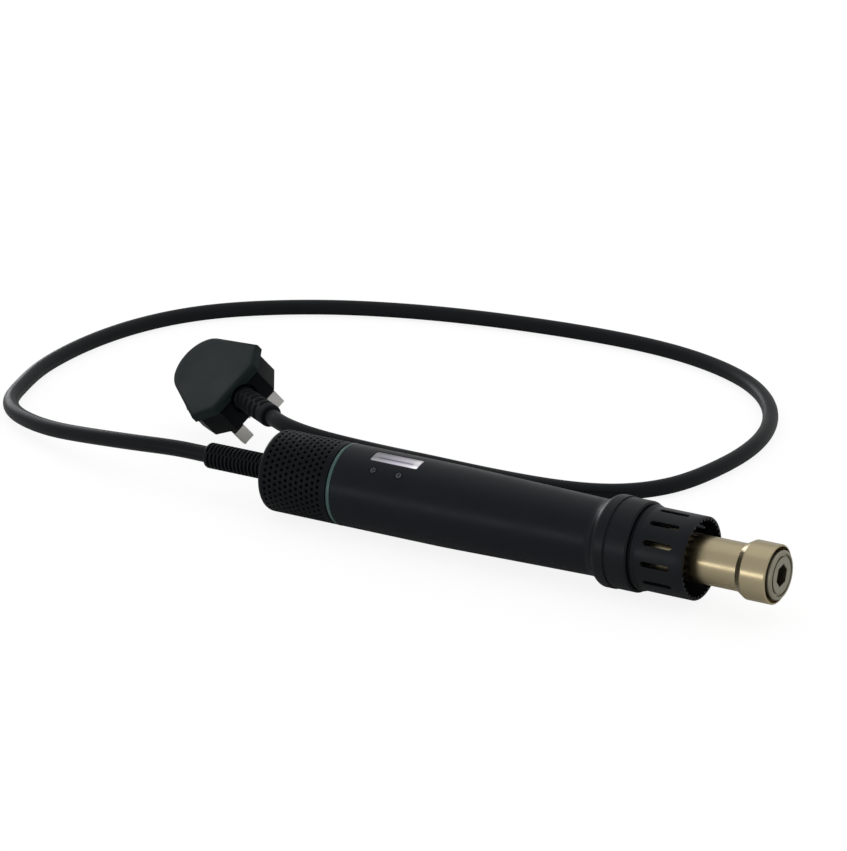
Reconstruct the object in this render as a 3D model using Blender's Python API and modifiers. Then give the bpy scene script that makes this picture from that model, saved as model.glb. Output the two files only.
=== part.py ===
# Hand-held hot air tool lying on its side, with its mains lead and three-pin plug. Metres, +Z up.
#
# The tool is turned about its own X axis, tip at +X. A station is a distance along that axis from the rear
# face of the light ring. One empty carries the whole tool and lays it down on the rear cap's edge and the
# collar's edge, rolled a little so that the display faces the near side. A second empty carries the plug.

import math

import bmesh
import bpy
import numpy as np
from mathutils import Matrix, Vector

# Fits
GAP = 0.0003

# Facets round the axis
FINE = 40
MEDIUM = 24
COARSE = 16
SMALL = 8

# How the tool lies
ROLL = math.radians(11)

# Rear cap
BODY_RADIUS = 0.0194
CAP_LENGTH = 0.0377
CAP_WALL = 0.0016
CAP_FLOOR = 0.0025
CAP_EDGE_ROUND = 0.0029
HOLE_ROWS = 7
HOLES_PER_ROW = 24
HOLE_SIDE = 0.0016
HOLE_MARGIN_REAR = 0.0046
HOLE_MARGIN_FRONT = 0.0044

# Intake filter
FILTER_THICKNESS = 0.0015

# Strain relief and its nut
RELIEF_LENGTH = 0.0388
RELIEF_CREST_RADIUS = 0.0061
RELIEF_ROOT_RADIUS = 0.0051
RELIEF_RIBS = 17
RELIEF_CREST_SHARE = 0.35
NECK_RADIUS = 0.0056
NUT_ACROSS_FLATS = 0.0170
NUT_THICKNESS = 0.0032

# Light ring
RING_WIDTH = 0.0020
RING_PROUD = 0.0001

# Body shell
BODY_WALL = 0.0020
BODY_STRAIGHT_LENGTH = 0.0537
BODY_TAPER_LENGTH = 0.0829
BODY_FRONT_RADIUS = 0.01777
REAR_SPIGOT_LENGTH = 0.0051
REAR_SPIGOT_WALL = 0.0020
REAR_SPIGOT_ROOT = 0.0010
FRONT_SPIGOT_LENGTH = 0.0071
FRONT_SPIGOT_RADIUS = 0.0154

# Display and keys
DISPLAY_STATION = 0.0298
DISPLAY_LENGTH = 0.0253
DISPLAY_WIDTH = 0.0079
LENS_THICKNESS = 0.0016
KEY_MIDDLE_STATION = 0.0288
KEY_SPACING = 0.0137
KEY_ANGLE = math.radians(28)
KEY_RADIUS = 0.0020
KEY_PROUD = 0.0003
KEY_TOP_RADIUS = 0.0014
KEY_SHOULDER = 0.0001
KEY_TRAVEL = 0.0004
KEY_FLANGE_RADIUS = 0.0028
KEY_FLANGE_THICKNESS = 0.0008
KEY_STEM_RADIUS = 0.0015

# Board and what it carries
BOARD_ANGLE = math.radians(14)
BOARD_DEPTH = 0.0090
BOARD_EDGE_GAP = 0.00043
BOARD_THICKNESS = 0.0016
BOARD_LENGTH = 0.0560
MODULE_LENGTH = 0.0270
MODULE_WIDTH = 0.0084
MODULE_HEIGHT = 0.0026
SWITCH_SIDE = 0.0045
SWITCH_HEIGHT = 0.0022
FRAME_WALL = 0.0020
FRAME_OVERHANG = 0.0030
FRAME_INSET = 0.0020

# Blower
FAN_TUBE_WALL = 0.0012
FAN_TUBE_LENGTH = 0.0210
FAN_VANES = 3
VANE_THICKNESS = 0.0016
VANE_LENGTH = 0.0080
MOTOR_RADIUS = 0.0080
MOTOR_LENGTH = 0.0180
MOTOR_RING_WALL = 0.0014
SHAFT_RADIUS = 0.0010
SHAFT_LENGTH = 0.0062
IMPELLER_HUB_RADIUS = 0.0050
IMPELLER_HUB_LENGTH = 0.0070
IMPELLER_NOSE_LENGTH = 0.0020
IMPELLER_NOSE_RADIUS = 0.0030
IMPELLER_BLADES = 7
BLADE_CLEARANCE = 0.0008
BLADE_CHORD = 0.0070
BLADE_THICKNESS = 0.0010
BLADE_PITCH = math.radians(38)

# Collar
COLLAR_RADIUS = 0.0214
COLLAR_LENGTH = 0.0196
COLLAR_FLARE = 0.0040
COLLAR_FRONT_RADIUS = 0.0210
COLLAR_GROOVE_START = 0.0081
COLLAR_GROOVE_WIDTH = 0.0008
COLLAR_GROOVE_DEPTH = 0.0006
COLLAR_CHAMFER = 0.0007
COLLAR_STOP = 0.0089
COLLAR_STOP_WIDTH = 0.0040

# Heater tube and what is in it
TUBE_RADIUS = 0.0110
TUBE_WALL = 0.0008
TUBE_REAR_LENGTH = 0.0183
TUBE_FRONT_LENGTH = 0.0699
TUBE_FLANGE_THICKNESS = 0.0015
DUCT_LENGTH = 0.0500
DUCT_WALL = 0.0012
DUCT_OVERLAP = 0.0060
DUCT_RIM_LENGTH = 0.0040
DUCT_THROAT_LEAD = 0.0010
HEATER_BASE_INSET = 0.0020
HEATER_BASE_THICKNESS = 0.0037
HEATER_BASE_HOLES = 6
HEATER_HOLE_RADIUS = 0.0019
HEATER_HOLE_CIRCLE = 0.0062
MICA_THICKNESS = 0.0004
MICA_LENGTH = 0.0780
CORE_ARMS = 6
CORE_LENGTH = 0.0700
CORE_ROOT_RADIUS = 0.0030
PROBE_RADIUS = 0.0008
PROBE_LENGTH = 0.0050

# Heat guard and its gasket
GASKET_THICKNESS = 0.0010
GASKET_RADIUS = 0.0186
GUARD_RADIUS = 0.0192
GUARD_WALL = 0.0018
GUARD_LENGTH = 0.0261
GUARD_SHOULDER_RADIUS = 0.0200
GUARD_SHOULDER_LENGTH = 0.0021
GUARD_FLOOR = 0.0020
GUARD_NECK_LENGTH = 0.0062
GUARD_NECK_WALL = 0.0018
GUARD_TUBE_CLEARANCE = 0.0013
SLOT_COUNT = 12
SLOT_LENGTH = 0.0146
SLOT_WIDTH = 0.0025
SLOT_START = 0.0051
SLOT_PHASE = math.radians(-11)
TOOTH_COUNT = 36
TOOTH_GAP = 0.0016
TOOTH_DEPTH = 0.0012

# Nozzle
NOZZLE_LENGTH = 0.0169
NOZZLE_LIP = 0.0005
NOZZLE_CONE = 0.0039
HEAD_RADIUS = 0.0137
HEAD_EDGE_ROUND = 0.0006
NOZZLE_STOP_INSET = 0.0058
NOZZLE_STOP_WIDTH = 0.0025
NOZZLE_THROAT_RADIUS = 0.0080
DISC_RADIUS = 0.0119
DISC_CLEARANCE = 0.0006
DISC_PROUD = 0.0020
DISC_EDGE_ROUND = 0.0013
DISC_STEP_RADIUS = 0.0098
DISC_STEP_DEPTH = 0.0003
OUTLET_ACROSS_FLATS = 0.0092

# Plug
PLUG_X = -0.1734
PLUG_Y = 0.0620
PLUG_HEADING = math.radians(-30.2)
PLUG_LEAN = math.radians(40.8)
PLUG_BASE_WIDTH = 0.0424
PLUG_BASE_DEPTH = 0.0136
PLUG_CABLE_EDGE = 0.0152
PLUG_CABLE_EDGE_WIDTH = 0.0264
PLUG_CORNER_LENGTH = 0.0114
PLUG_SIDE_LENGTH = 0.0138
PLUG_FAR_END = 0.0372
PLUG_FAR_ROUND = 0.0163
PLUG_COVER_WIDTH = 0.0474
PLUG_COVER_DEPTH = 0.0049
PLUG_COVER_CORNER = 0.0048
PLUG_COVER_EDGE_WIDTH = 0.0286
PLUG_COVER_ROUND = 0.0017
PLUG_CORNER_ROUND = 0.0028
CABLE_AXIS_HEIGHT = 0.0094
PLUG_RECESS_RADIUS = 0.0072
PLUG_RECESS_DEPTH = 0.0030
PLUG_RELIEF_LENGTH = 0.0280
PLUG_RELIEF_RADIUS = 0.0056
PLUG_RELIEF_ROOT = 0.0048
PLUG_RELIEF_RIBS = 5
PLUG_RELIEF_ROOT_SHARE = 0.45
PLUG_RELIEF_COLLAR = 0.0042
PLUG_RELIEF_EDGE = 0.0006
PIN_SPREAD = 0.01110
PIN_WIDTH = 0.00635
PIN_THICKNESS = 0.00397
PIN_LENGTH = 0.0177
EARTH_WIDTH = 0.00397
EARTH_THICKNESS = 0.00792
EARTH_LENGTH = 0.0227
EARTH_OFFSET = 0.0222
PIN_ROOT = 0.0060
PIN_TIP_ROUND = 0.0009
FUSE_RADIUS = 0.00315
FUSE_LENGTH = 0.0254
FUSE_OFFSET = 0.0110
FUSE_POCKET_DEPTH = 0.0088
FUSE_CARRIER_THICKNESS = 0.0016

# Cord
CORD_RADIUS = 0.0039
CORD_STEP = 0.0160
CORD_ROUTE = [
    (-0.1880, 0.0003, 0.0172), (-0.2080, 0.0025, 0.0148), (-0.2290, 0.0065, 0.0118),
    (-0.2500, 0.0120, 0.0088), (-0.2700, 0.0200, 0.0066), (-0.2860, 0.0300, 0.0053),
    (-0.2975, 0.0435, 0.0045), (-0.3050, 0.0620, 0.0040), (-0.3110, 0.0850, 0.0040),
    (-0.3135, 0.1120, 0.0040), (-0.3115, 0.1420, 0.0040), (-0.3030, 0.1740, 0.0040),
    (-0.2865, 0.2025, 0.0040), (-0.2640, 0.2240, 0.0040), (-0.2370, 0.2415, 0.0040),
    (-0.2050, 0.2555, 0.0040), (-0.1690, 0.2660, 0.0040), (-0.1300, 0.2730, 0.0040),
    (-0.0900, 0.2765, 0.0040), (-0.0550, 0.2750, 0.0040), (-0.0230, 0.2670, 0.0040),
    (0.0050, 0.2520, 0.0040), (0.0270, 0.2290, 0.0040), (0.0410, 0.2000, 0.0040),
    (0.0460, 0.1680, 0.0040), (0.0435, 0.1380, 0.0040), (0.0350, 0.1100, 0.0040),
    (0.0183, 0.0914, 0.0040), (-0.0057, 0.0820, 0.0040), (-0.0346, 0.0785, 0.0040),
    (-0.0527, 0.0767, 0.0045), (-0.0674, 0.0709, 0.0071), (-0.0801, 0.0569, 0.0133),
    (-0.0871, 0.0423, 0.0199), (-0.0997, 0.0309, 0.0254), (-0.1171, 0.0269, 0.0286),
]
TOOL_CORD_STRAIGHT = 0.0150
PLUG_CORD_STRAIGHT = 0.0090

# Stations that several pieces share
CAP_FRONT = -GAP
CAP_REAR = CAP_FRONT - CAP_LENGTH
RELIEF_END = CAP_REAR - RELIEF_LENGTH
BODY_START = RING_WIDTH + GAP
TAPER_START = BODY_START + BODY_STRAIGHT_LENGTH
BODY_END = TAPER_START + BODY_TAPER_LENGTH
BODY_BORE = BODY_RADIUS - BODY_WALL
BODY_FRONT_BORE = BODY_FRONT_RADIUS - BODY_WALL
REAR_SPIGOT_END = BODY_START - REAR_SPIGOT_LENGTH
REAR_SPIGOT_RADIUS = BODY_RADIUS - CAP_WALL - GAP
REAR_SPIGOT_BORE = REAR_SPIGOT_RADIUS - REAR_SPIGOT_WALL
FRONT_SPIGOT_END = BODY_END + FRONT_SPIGOT_LENGTH
COLLAR_BORE = FRONT_SPIGOT_RADIUS + GAP
COLLAR_START = BODY_END + GAP
COLLAR_END = COLLAR_START + COLLAR_LENGTH
COLLAR_STOP_START = COLLAR_START + COLLAR_STOP
COLLAR_STOP_END = COLLAR_STOP_START + COLLAR_STOP_WIDTH
FLANGE_REAR = FRONT_SPIGOT_END + GAP
FLANGE_FRONT = FLANGE_REAR + TUBE_FLANGE_THICKNESS
TUBE_REAR = FLANGE_REAR - TUBE_REAR_LENGTH
TUBE_FRONT = FLANGE_REAR + TUBE_FRONT_LENGTH
TUBE_BORE = TUBE_RADIUS - TUBE_WALL
GASKET_START = COLLAR_END + GAP
GUARD_START = GASKET_START + GASKET_THICKNESS + GAP
GUARD_END = GUARD_START + GUARD_LENGTH
GUARD_NECK_END = GUARD_START - GUARD_NECK_LENGTH
GUARD_BORE = GUARD_RADIUS - GUARD_WALL
GUARD_TUBE_HOLE = TUBE_RADIUS + GUARD_TUBE_CLEARANCE
GUARD_NECK_RADIUS = GUARD_TUBE_HOLE + GUARD_NECK_WALL
NOZZLE_FRONT = TUBE_FRONT + GAP + NOZZLE_STOP_WIDTH + NOZZLE_STOP_INSET
NOZZLE_START = NOZZLE_FRONT - NOZZLE_LENGTH
NOZZLE_STOP_FRONT = NOZZLE_FRONT - NOZZLE_STOP_INSET
NOZZLE_BORE = TUBE_RADIUS + GAP
DISC_FACE = NOZZLE_FRONT + DISC_PROUD
BOARD_HEIGHT = BODY_RADIUS - BOARD_DEPTH
BOARD_TOP = BOARD_HEIGHT + BOARD_THICKNESS
BOARD_WIDTH = 2 * math.sqrt((BODY_BORE - BOARD_EDGE_GAP) ** 2 - BOARD_TOP ** 2)

# Finishes: colour, roughness, metallic
BLACK_PLASTIC = ((0.012, 0.013, 0.015), 0.42, 0.0)
BLACK_RUBBER = ((0.014, 0.015, 0.016), 0.60, 0.0)
DARK_FOAM = ((0.008, 0.008, 0.009), 0.90, 0.0)
TEAL_TRANSLUCENT = ((0.065, 0.150, 0.140), 0.30, 0.0)
PALE_LENS = ((0.62, 0.60, 0.66), 0.15, 0.0)
KEY_GREY = ((0.050, 0.052, 0.056), 0.45, 0.0)
GREEN_BOARD = ((0.020, 0.120, 0.050), 0.45, 0.0)
WHITE_PLASTIC = ((0.60, 0.60, 0.58), 0.50, 0.0)
GREY_PLASTIC = ((0.10, 0.10, 0.11), 0.50, 0.0)
STEEL = ((0.45, 0.45, 0.45), 0.30, 1.0)
GOLD_STEEL = ((0.52, 0.46, 0.34), 0.28, 1.0)
DISC_STEEL = ((0.50, 0.47, 0.38), 0.30, 1.0)
PIN_METAL = ((0.62, 0.62, 0.60), 0.28, 1.0)
CERAMIC = ((0.75, 0.72, 0.66), 0.80, 0.0)
MICA = ((0.55, 0.50, 0.40), 0.40, 0.0)


def clear_scene():
    for obj in list(bpy.data.objects):
        bpy.data.objects.remove(obj)
    for collection in list(bpy.data.collections):
        bpy.data.collections.remove(collection)


def add_collection(name):
    collection = bpy.data.collections.new(name)
    bpy.context.scene.collection.children.link(collection)
    return collection


def add_empty(name, matrix):
    empty = bpy.data.objects.new(name, None)
    empty.empty_display_size = 0.02
    empty.matrix_world = matrix
    parts.objects.link(empty)
    return empty


def add_material(name, finish):
    colour, roughness, metallic = finish
    material = bpy.data.materials.new(name)
    material.use_nodes = True
    shader = material.node_tree.nodes["Principled BSDF"]
    shader.inputs["Base Color"].default_value = (*colour, 1.0)
    shader.inputs["Roughness"].default_value = roughness
    shader.inputs["Metallic"].default_value = metallic
    material.diffuse_color = (*colour, 1.0)
    return material


def add_part(name, mesh, finish, carrier, matrix=Matrix()):
    """A named piece, placed by its matrix in the frame of the empty that carries it."""
    obj = bpy.data.objects.new(name, mesh)
    mesh.materials.append(add_material(name, finish))
    obj.parent = carrier
    obj.matrix_local = matrix
    parts.objects.link(obj)
    return obj


def add_cutter(name, mesh, carrier, matrix=Matrix()):
    """A shape that only cuts or joins: it isn't a piece of the tool."""
    obj = bpy.data.objects.new(name, mesh)
    obj.parent = carrier
    obj.matrix_local = matrix
    obj.hide_render = True
    obj.display_type = 'WIRE'
    cutters.objects.link(obj)
    return obj


def combine(obj, other, operation='DIFFERENCE'):
    modifier = obj.modifiers.new(other.name, 'BOOLEAN')
    modifier.operation = operation
    modifier.object = other
    return modifier


def round_edges(obj, width, segments=2, angle=math.radians(40)):
    modifier = obj.modifiers.new("Rounded edges", 'BEVEL')
    modifier.width = width
    modifier.segments = segments
    modifier.limit_method = 'ANGLE'
    modifier.angle_limit = angle


# Turned shapes: a profile is a list of (height, radius), from the top down the outer side and back up the
# inner side. It starts and ends on the axis for a solid piece.
ALONG_TOOL = Matrix.Rotation(math.radians(90), 4, 'Y')


def profile_mesh(name, profile):
    points = [(radius, 0.0, height) for height, radius in profile]
    edges = [(i, i + 1) for i in range(len(points) - 1)]
    if profile[0][1] > 0:
        edges.append((len(points) - 1, 0))
    mesh = bpy.data.meshes.new(name)
    mesh.from_pydata(points, edges, [])
    return mesh


def add_screw(obj, steps):
    screw = obj.modifiers.new("Turned", 'SCREW')
    screw.axis = 'Z'
    screw.angle = 2 * math.pi
    screw.steps = steps
    screw.render_steps = steps
    screw.use_merge_vertices = True
    screw.merge_threshold = 0.00001
    screw.use_smooth_shade = True


def turned(name, profile, finish, steps=MEDIUM, matrix=ALONG_TOOL, carrier=None):
    obj = add_part(name, profile_mesh(name, profile), finish, carrier or tool, matrix)
    add_screw(obj, steps)
    return obj


def turned_cutter(name, profile, steps=MEDIUM, matrix=ALONG_TOOL, carrier=None):
    obj = add_cutter(name, profile_mesh(name, profile), carrier or tool, matrix)
    add_screw(obj, steps)
    return obj


def tube_profile(front, rear, outer, inner):
    return [(front, outer), (rear, outer), (rear, inner), (front, inner)]


def rod_profile(front, rear, radius):
    return [(front, 0.0), (front, radius), (rear, radius), (rear, 0.0)]


def corner_arc(centre, radius, start, end, segments):
    """Points (height, radius) of an arc about centre, with angles counted from the axis direction."""
    points = []
    for i in range(segments + 1):
        angle = start + (end - start) * i / segments
        points.append((centre[0] + radius * math.cos(angle), centre[1] + radius * math.sin(angle)))
    return points


# Boxes and flat outlines
def box_mesh(name, boxes):
    """One mesh of separate boxes. Each is a matrix that stretches and places a unit cube."""
    mesh = bpy.data.meshes.new(name)
    shape = bmesh.new()
    for matrix in boxes:
        bmesh.ops.create_cube(shape, size=1.0, matrix=matrix)
    shape.to_mesh(mesh)
    shape.free()
    return mesh


def stretch(length, width, height):
    return Matrix.Diagonal((length, width, height, 1.0))


def about_axis(angle):
    """A turn about the tool's axis, from the top toward the near side."""
    return Matrix.Rotation(angle, 4, 'X')


def radial_box(station, angle, radius, length, width, depth):
    return about_axis(angle) @ Matrix.Translation((station, 0.0, radius)) @ stretch(length, width, depth)


def outline_mesh(name, outline, bottom, top):
    """A flat outline of (x, y) points, as thick as from bottom to top."""
    curve = bpy.data.curves.new(name, 'CURVE')
    curve.dimensions = '2D'
    curve.fill_mode = 'BOTH'
    curve.extrude = (top - bottom) / 2
    spline = curve.splines.new('POLY')
    spline.points.add(len(outline) - 1)
    for point, (x, y) in zip(spline.points, outline):
        point.co = (x, y, 0.0, 1.0)
    spline.use_cyclic_u = True
    return curve_to_mesh(name, curve, Matrix.Translation((0.0, 0.0, (top + bottom) / 2)))


def curve_to_mesh(name, curve, matrix=Matrix()):
    """The closed mesh of a curve: its caps are welded on, and the curve is removed."""
    holder = bpy.data.objects.new(name, curve)
    bpy.context.scene.collection.objects.link(holder)
    bpy.context.view_layer.update()
    evaluated = holder.evaluated_get(bpy.context.evaluated_depsgraph_get())
    mesh = bpy.data.meshes.new_from_object(evaluated)
    bpy.data.objects.remove(holder)
    bpy.data.curves.remove(curve)
    shape = bmesh.new()
    shape.from_mesh(mesh)
    bmesh.ops.remove_doubles(shape, verts=shape.verts, dist=0.00001)
    bmesh.ops.dissolve_limit(shape, angle_limit=math.radians(1), verts=shape.verts, edges=shape.edges)
    bmesh.ops.recalc_face_normals(shape, faces=shape.faces)
    bmesh.ops.transform(shape, matrix=matrix, verts=shape.verts)
    shape.to_mesh(mesh)
    shape.free()
    mesh.name = name
    return mesh


def polygon_outline(count, radius, phase=0.0):
    angles = [phase + 2 * math.pi * i / count for i in range(count)]
    return [(radius * math.cos(angle), radius * math.sin(angle)) for angle in angles]


# Rear end: cap, filter, strain relief and nut
def make_rear_cap():
    hole = NECK_RADIUS + GAP
    bore = BODY_RADIUS - CAP_WALL
    floor = CAP_REAR + CAP_FLOOR
    edge = (CAP_REAR + CAP_EDGE_ROUND, BODY_RADIUS - CAP_EDGE_ROUND)
    arc = corner_arc(edge, CAP_EDGE_ROUND, math.radians(90), math.radians(180), 4)
    profile = [(CAP_FRONT, BODY_RADIUS)] + arc
    profile += [(CAP_REAR, hole), (floor, hole), (floor, bore), (CAP_FRONT, bore)]
    cap = turned("rear_cap", profile, BLACK_PLASTIC, 2 * HOLES_PER_ROW)
    combine(cap, make_hole_cutters())
    return cap


def make_hole_cutters():
    """Rows of square holes, each in the middle of a facet, with every second row moved on by one facet."""
    facet = math.pi / HOLES_PER_ROW
    first = CAP_REAR + HOLE_MARGIN_REAR
    last = CAP_FRONT - HOLE_MARGIN_FRONT
    boxes = []
    for row in range(HOLE_ROWS):
        station = first + (last - first) * row / (HOLE_ROWS - 1)
        for i in range(HOLES_PER_ROW):
            angle = (2 * i + row % 2 + 0.5) * facet
            middle = BODY_RADIUS - CAP_WALL / 2
            boxes.append(radial_box(station, angle, middle, HOLE_SIDE, HOLE_SIDE, 2 * CAP_WALL))
    return add_cutter("intake_holes", box_mesh("intake_holes", boxes), tool)


def make_intake_filter():
    outer = BODY_RADIUS - CAP_WALL - GAP
    rear = CAP_REAR + CAP_FLOOR + GAP
    front = REAR_SPIGOT_END - GAP
    turned("intake_filter", tube_profile(front, rear, outer, outer - FILTER_THICKNESS), DARK_FOAM, MEDIUM)


def make_strain_relief():
    front = CAP_REAR + CAP_FLOOR + GAP + NUT_THICKNESS + GAP
    shoulder = CAP_REAR - GAP
    pitch = (RELIEF_LENGTH - GAP) / (RELIEF_RIBS + 1)
    profile = [(front, 0.0), (front, NECK_RADIUS), (shoulder, NECK_RADIUS), (shoulder, RELIEF_CREST_RADIUS)]
    for rib in range(RELIEF_RIBS):
        crest = shoulder - pitch * (rib + RELIEF_CREST_SHARE)
        profile += [(crest, RELIEF_CREST_RADIUS), (crest - 0.5 * pitch, RELIEF_ROOT_RADIUS)]
    profile += [(RELIEF_END + 0.5 * pitch, RELIEF_CREST_RADIUS), (RELIEF_END, RELIEF_ROOT_RADIUS)]
    profile.append((RELIEF_END, 0.0))
    turned("strain_relief", profile, BLACK_RUBBER, COARSE)


def make_gland_nut():
    rear = CAP_REAR + CAP_FLOOR + GAP
    radius = NUT_ACROSS_FLATS / math.sqrt(3)
    mesh = outline_mesh("gland_nut", polygon_outline(6, radius), rear, rear + NUT_THICKNESS)
    nut = add_part("gland_nut", mesh, GREY_PLASTIC, tool, ALONG_TOOL)
    bore = rod_profile(rear + 2 * NUT_THICKNESS, rear - NUT_THICKNESS, NECK_RADIUS + GAP)
    combine(nut, turned_cutter("gland_nut_bore", bore, COARSE))


# Blower
def make_fan_housing():
    outer = REAR_SPIGOT_BORE - GAP
    front = REAR_SPIGOT_END + REAR_SPIGOT_LENGTH
    rear = front - FAN_TUBE_LENGTH
    bore = outer - FAN_TUBE_WALL
    housing = turned("fan_housing", tube_profile(front, rear, outer, bore), GREY_PLASTIC, MEDIUM)
    ring_radius = MOTOR_RADIUS + GAP
    ring = tube_profile(front, front - VANE_LENGTH, ring_radius + MOTOR_RING_WALL, ring_radius)
    combine(housing, turned_cutter("motor_ring", ring, MEDIUM), 'UNION')
    inner = ring_radius + 0.5 * MOTOR_RING_WALL
    reach = outer - 0.5 * FAN_TUBE_WALL
    boxes = []
    for i in range(FAN_VANES):
        angle = 2 * math.pi * i / FAN_VANES
        middle = (inner + reach) / 2
        station = front - VANE_LENGTH / 2
        boxes.append(radial_box(station, angle, middle, 0.8 * VANE_LENGTH, VANE_THICKNESS, reach - inner))
    combine(housing, add_cutter("vanes", box_mesh("vanes", boxes), tool), 'UNION')
    return front, bore


def make_fan_motor(front):
    rear = front - MOTOR_LENGTH
    tip = rear - SHAFT_LENGTH
    profile = [(front, 0.0), (front, MOTOR_RADIUS), (rear, MOTOR_RADIUS), (rear, SHAFT_RADIUS)]
    profile += [(tip, SHAFT_RADIUS), (tip, 0.0)]
    turned("fan_motor", profile, STEEL, COARSE)
    return rear


def make_impeller(motor_rear, bore):
    front = motor_rear - 2 * GAP
    rear = front - IMPELLER_HUB_LENGTH
    socket = SHAFT_RADIUS + GAP
    blind = front - SHAFT_LENGTH
    nose = rear + IMPELLER_NOSE_LENGTH
    profile = [(front, socket), (front, IMPELLER_HUB_RADIUS), (nose, IMPELLER_HUB_RADIUS)]
    profile += [(rear, IMPELLER_NOSE_RADIUS), (rear, 0.0), (blind, 0.0), (blind, socket)]
    middle = (front + rear) / 2
    hub = [(height - middle, radius) for height, radius in profile]
    centre = Matrix.Translation((middle, 0.0, 0.0))
    impeller = turned("impeller", hub, BLACK_PLASTIC, COARSE, centre @ ALONG_TOOL)
    tip = bore - BLADE_CLEARANCE
    root = 0.8 * IMPELLER_HUB_RADIUS
    boxes = []
    for i in range(IMPELLER_BLADES):
        turn = about_axis(2 * math.pi * i / IMPELLER_BLADES)
        pitch = Matrix.Rotation(BLADE_PITCH, 4, 'Z')
        place = Matrix.Translation((0.0, 0.0, (tip + root) / 2))
        boxes.append(turn @ place @ pitch @ stretch(BLADE_CHORD, BLADE_THICKNESS, tip - root))
    blades = add_cutter("blades", box_mesh("blades", boxes), tool, centre)
    combine(impeller, blades, 'UNION')


# Body: ring, shell, lens and keys
def make_light_ring():
    outer = BODY_RADIUS + RING_PROUD
    inner = REAR_SPIGOT_RADIUS + GAP
    turned("light_ring", tube_profile(RING_WIDTH, 0.0, outer, inner), TEAL_TRANSLUCENT, FINE)


def make_body_shell():
    step = BODY_START + REAR_SPIGOT_ROOT
    spigot_bore = FRONT_SPIGOT_RADIUS - BODY_WALL
    profile = [
        (FRONT_SPIGOT_END, FRONT_SPIGOT_RADIUS), (BODY_END, FRONT_SPIGOT_RADIUS),
        (BODY_END, BODY_FRONT_RADIUS), (TAPER_START, BODY_RADIUS), (BODY_START, BODY_RADIUS),
        (BODY_START, REAR_SPIGOT_RADIUS), (REAR_SPIGOT_END, REAR_SPIGOT_RADIUS),
        (REAR_SPIGOT_END, REAR_SPIGOT_BORE), (step, REAR_SPIGOT_BORE),
        (step + BODY_BORE - REAR_SPIGOT_BORE, BODY_BORE), (TAPER_START, BODY_BORE),
        (BODY_END - BODY_WALL, BODY_FRONT_BORE), (BODY_END, spigot_bore), (FRONT_SPIGOT_END, spigot_bore),
    ]
    shell = turned("body_shell", profile, BLACK_PLASTIC, FINE)
    middle = BODY_RADIUS - BODY_WALL / 2
    window = radial_box(DISPLAY_STATION, 0.0, middle, DISPLAY_LENGTH, DISPLAY_WIDTH, 2 * BODY_WALL)
    combine(shell, add_cutter("window", box_mesh("window", [window]), tool))
    for side, station in key_stations().items():
        hole = rod_profile(BODY_WALL, -2 * BODY_WALL, KEY_RADIUS + GAP)
        combine(shell, turned_cutter("key_hole_" + side, hole, COARSE, key_matrix(station)))


def key_stations():
    return {"left": KEY_MIDDLE_STATION - KEY_SPACING / 2, "right": KEY_MIDDLE_STATION + KEY_SPACING / 2}


def key_matrix(station):
    """The key's own frame: its origin on the body's surface and its Z axis straight out of it."""
    return about_axis(KEY_ANGLE) @ Matrix.Translation((station, 0.0, BODY_RADIUS))


def make_display_window():
    outer = BODY_RADIUS - RING_PROUD
    reach = DISPLAY_LENGTH / 2 + BODY_WALL
    ring = tube_profile(DISPLAY_STATION + reach, DISPLAY_STATION - reach, outer, outer - LENS_THICKNESS)
    lens = turned("display_window", ring, PALE_LENS, FINE)
    length = DISPLAY_LENGTH - 2 * GAP
    width = DISPLAY_WIDTH - 2 * GAP
    block = radial_box(DISPLAY_STATION, 0.0, outer, length, width, BODY_RADIUS / 2)
    combine(lens, add_cutter("lens_block", box_mesh("lens_block", [block]), tool), 'INTERSECT')


def make_keys():
    """Each key is held in by a flange below the shell, which its rounded wall leaves free to sink."""
    flange_top = math.sqrt((BODY_BORE - GAP) ** 2 - KEY_FLANGE_RADIUS ** 2) - BODY_RADIUS
    flange_bottom = flange_top - KEY_FLANGE_THICKNESS
    lean = KEY_ANGLE - BOARD_ANGLE
    clear = SWITCH_HEIGHT + KEY_TRAVEL + GAP
    stem = (BOARD_TOP + clear + KEY_STEM_RADIUS * math.sin(lean)) / math.cos(lean) - BODY_RADIUS
    stem_end = min(stem, flange_bottom - GAP)
    profile = [
        (KEY_PROUD, 0.0), (KEY_PROUD, KEY_TOP_RADIUS), (KEY_SHOULDER, KEY_RADIUS), (flange_top, KEY_RADIUS),
        (flange_top, KEY_FLANGE_RADIUS), (flange_bottom, KEY_FLANGE_RADIUS), (flange_bottom, KEY_STEM_RADIUS),
        (stem_end, KEY_STEM_RADIUS), (stem_end, 0.0),
    ]
    for side, station in key_stations().items():
        turned("key_" + side, profile, KEY_GREY, COARSE, key_matrix(station))


# Board
def on_board(station, across, height):
    """A place over the board, whose middle plane stands between the display and the keys."""
    return about_axis(BOARD_ANGLE) @ Matrix.Translation((station, across, height))


def board_start():
    return BODY_START + REAR_SPIGOT_ROOT + BODY_BORE - REAR_SPIGOT_BORE + FRAME_INSET


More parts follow.
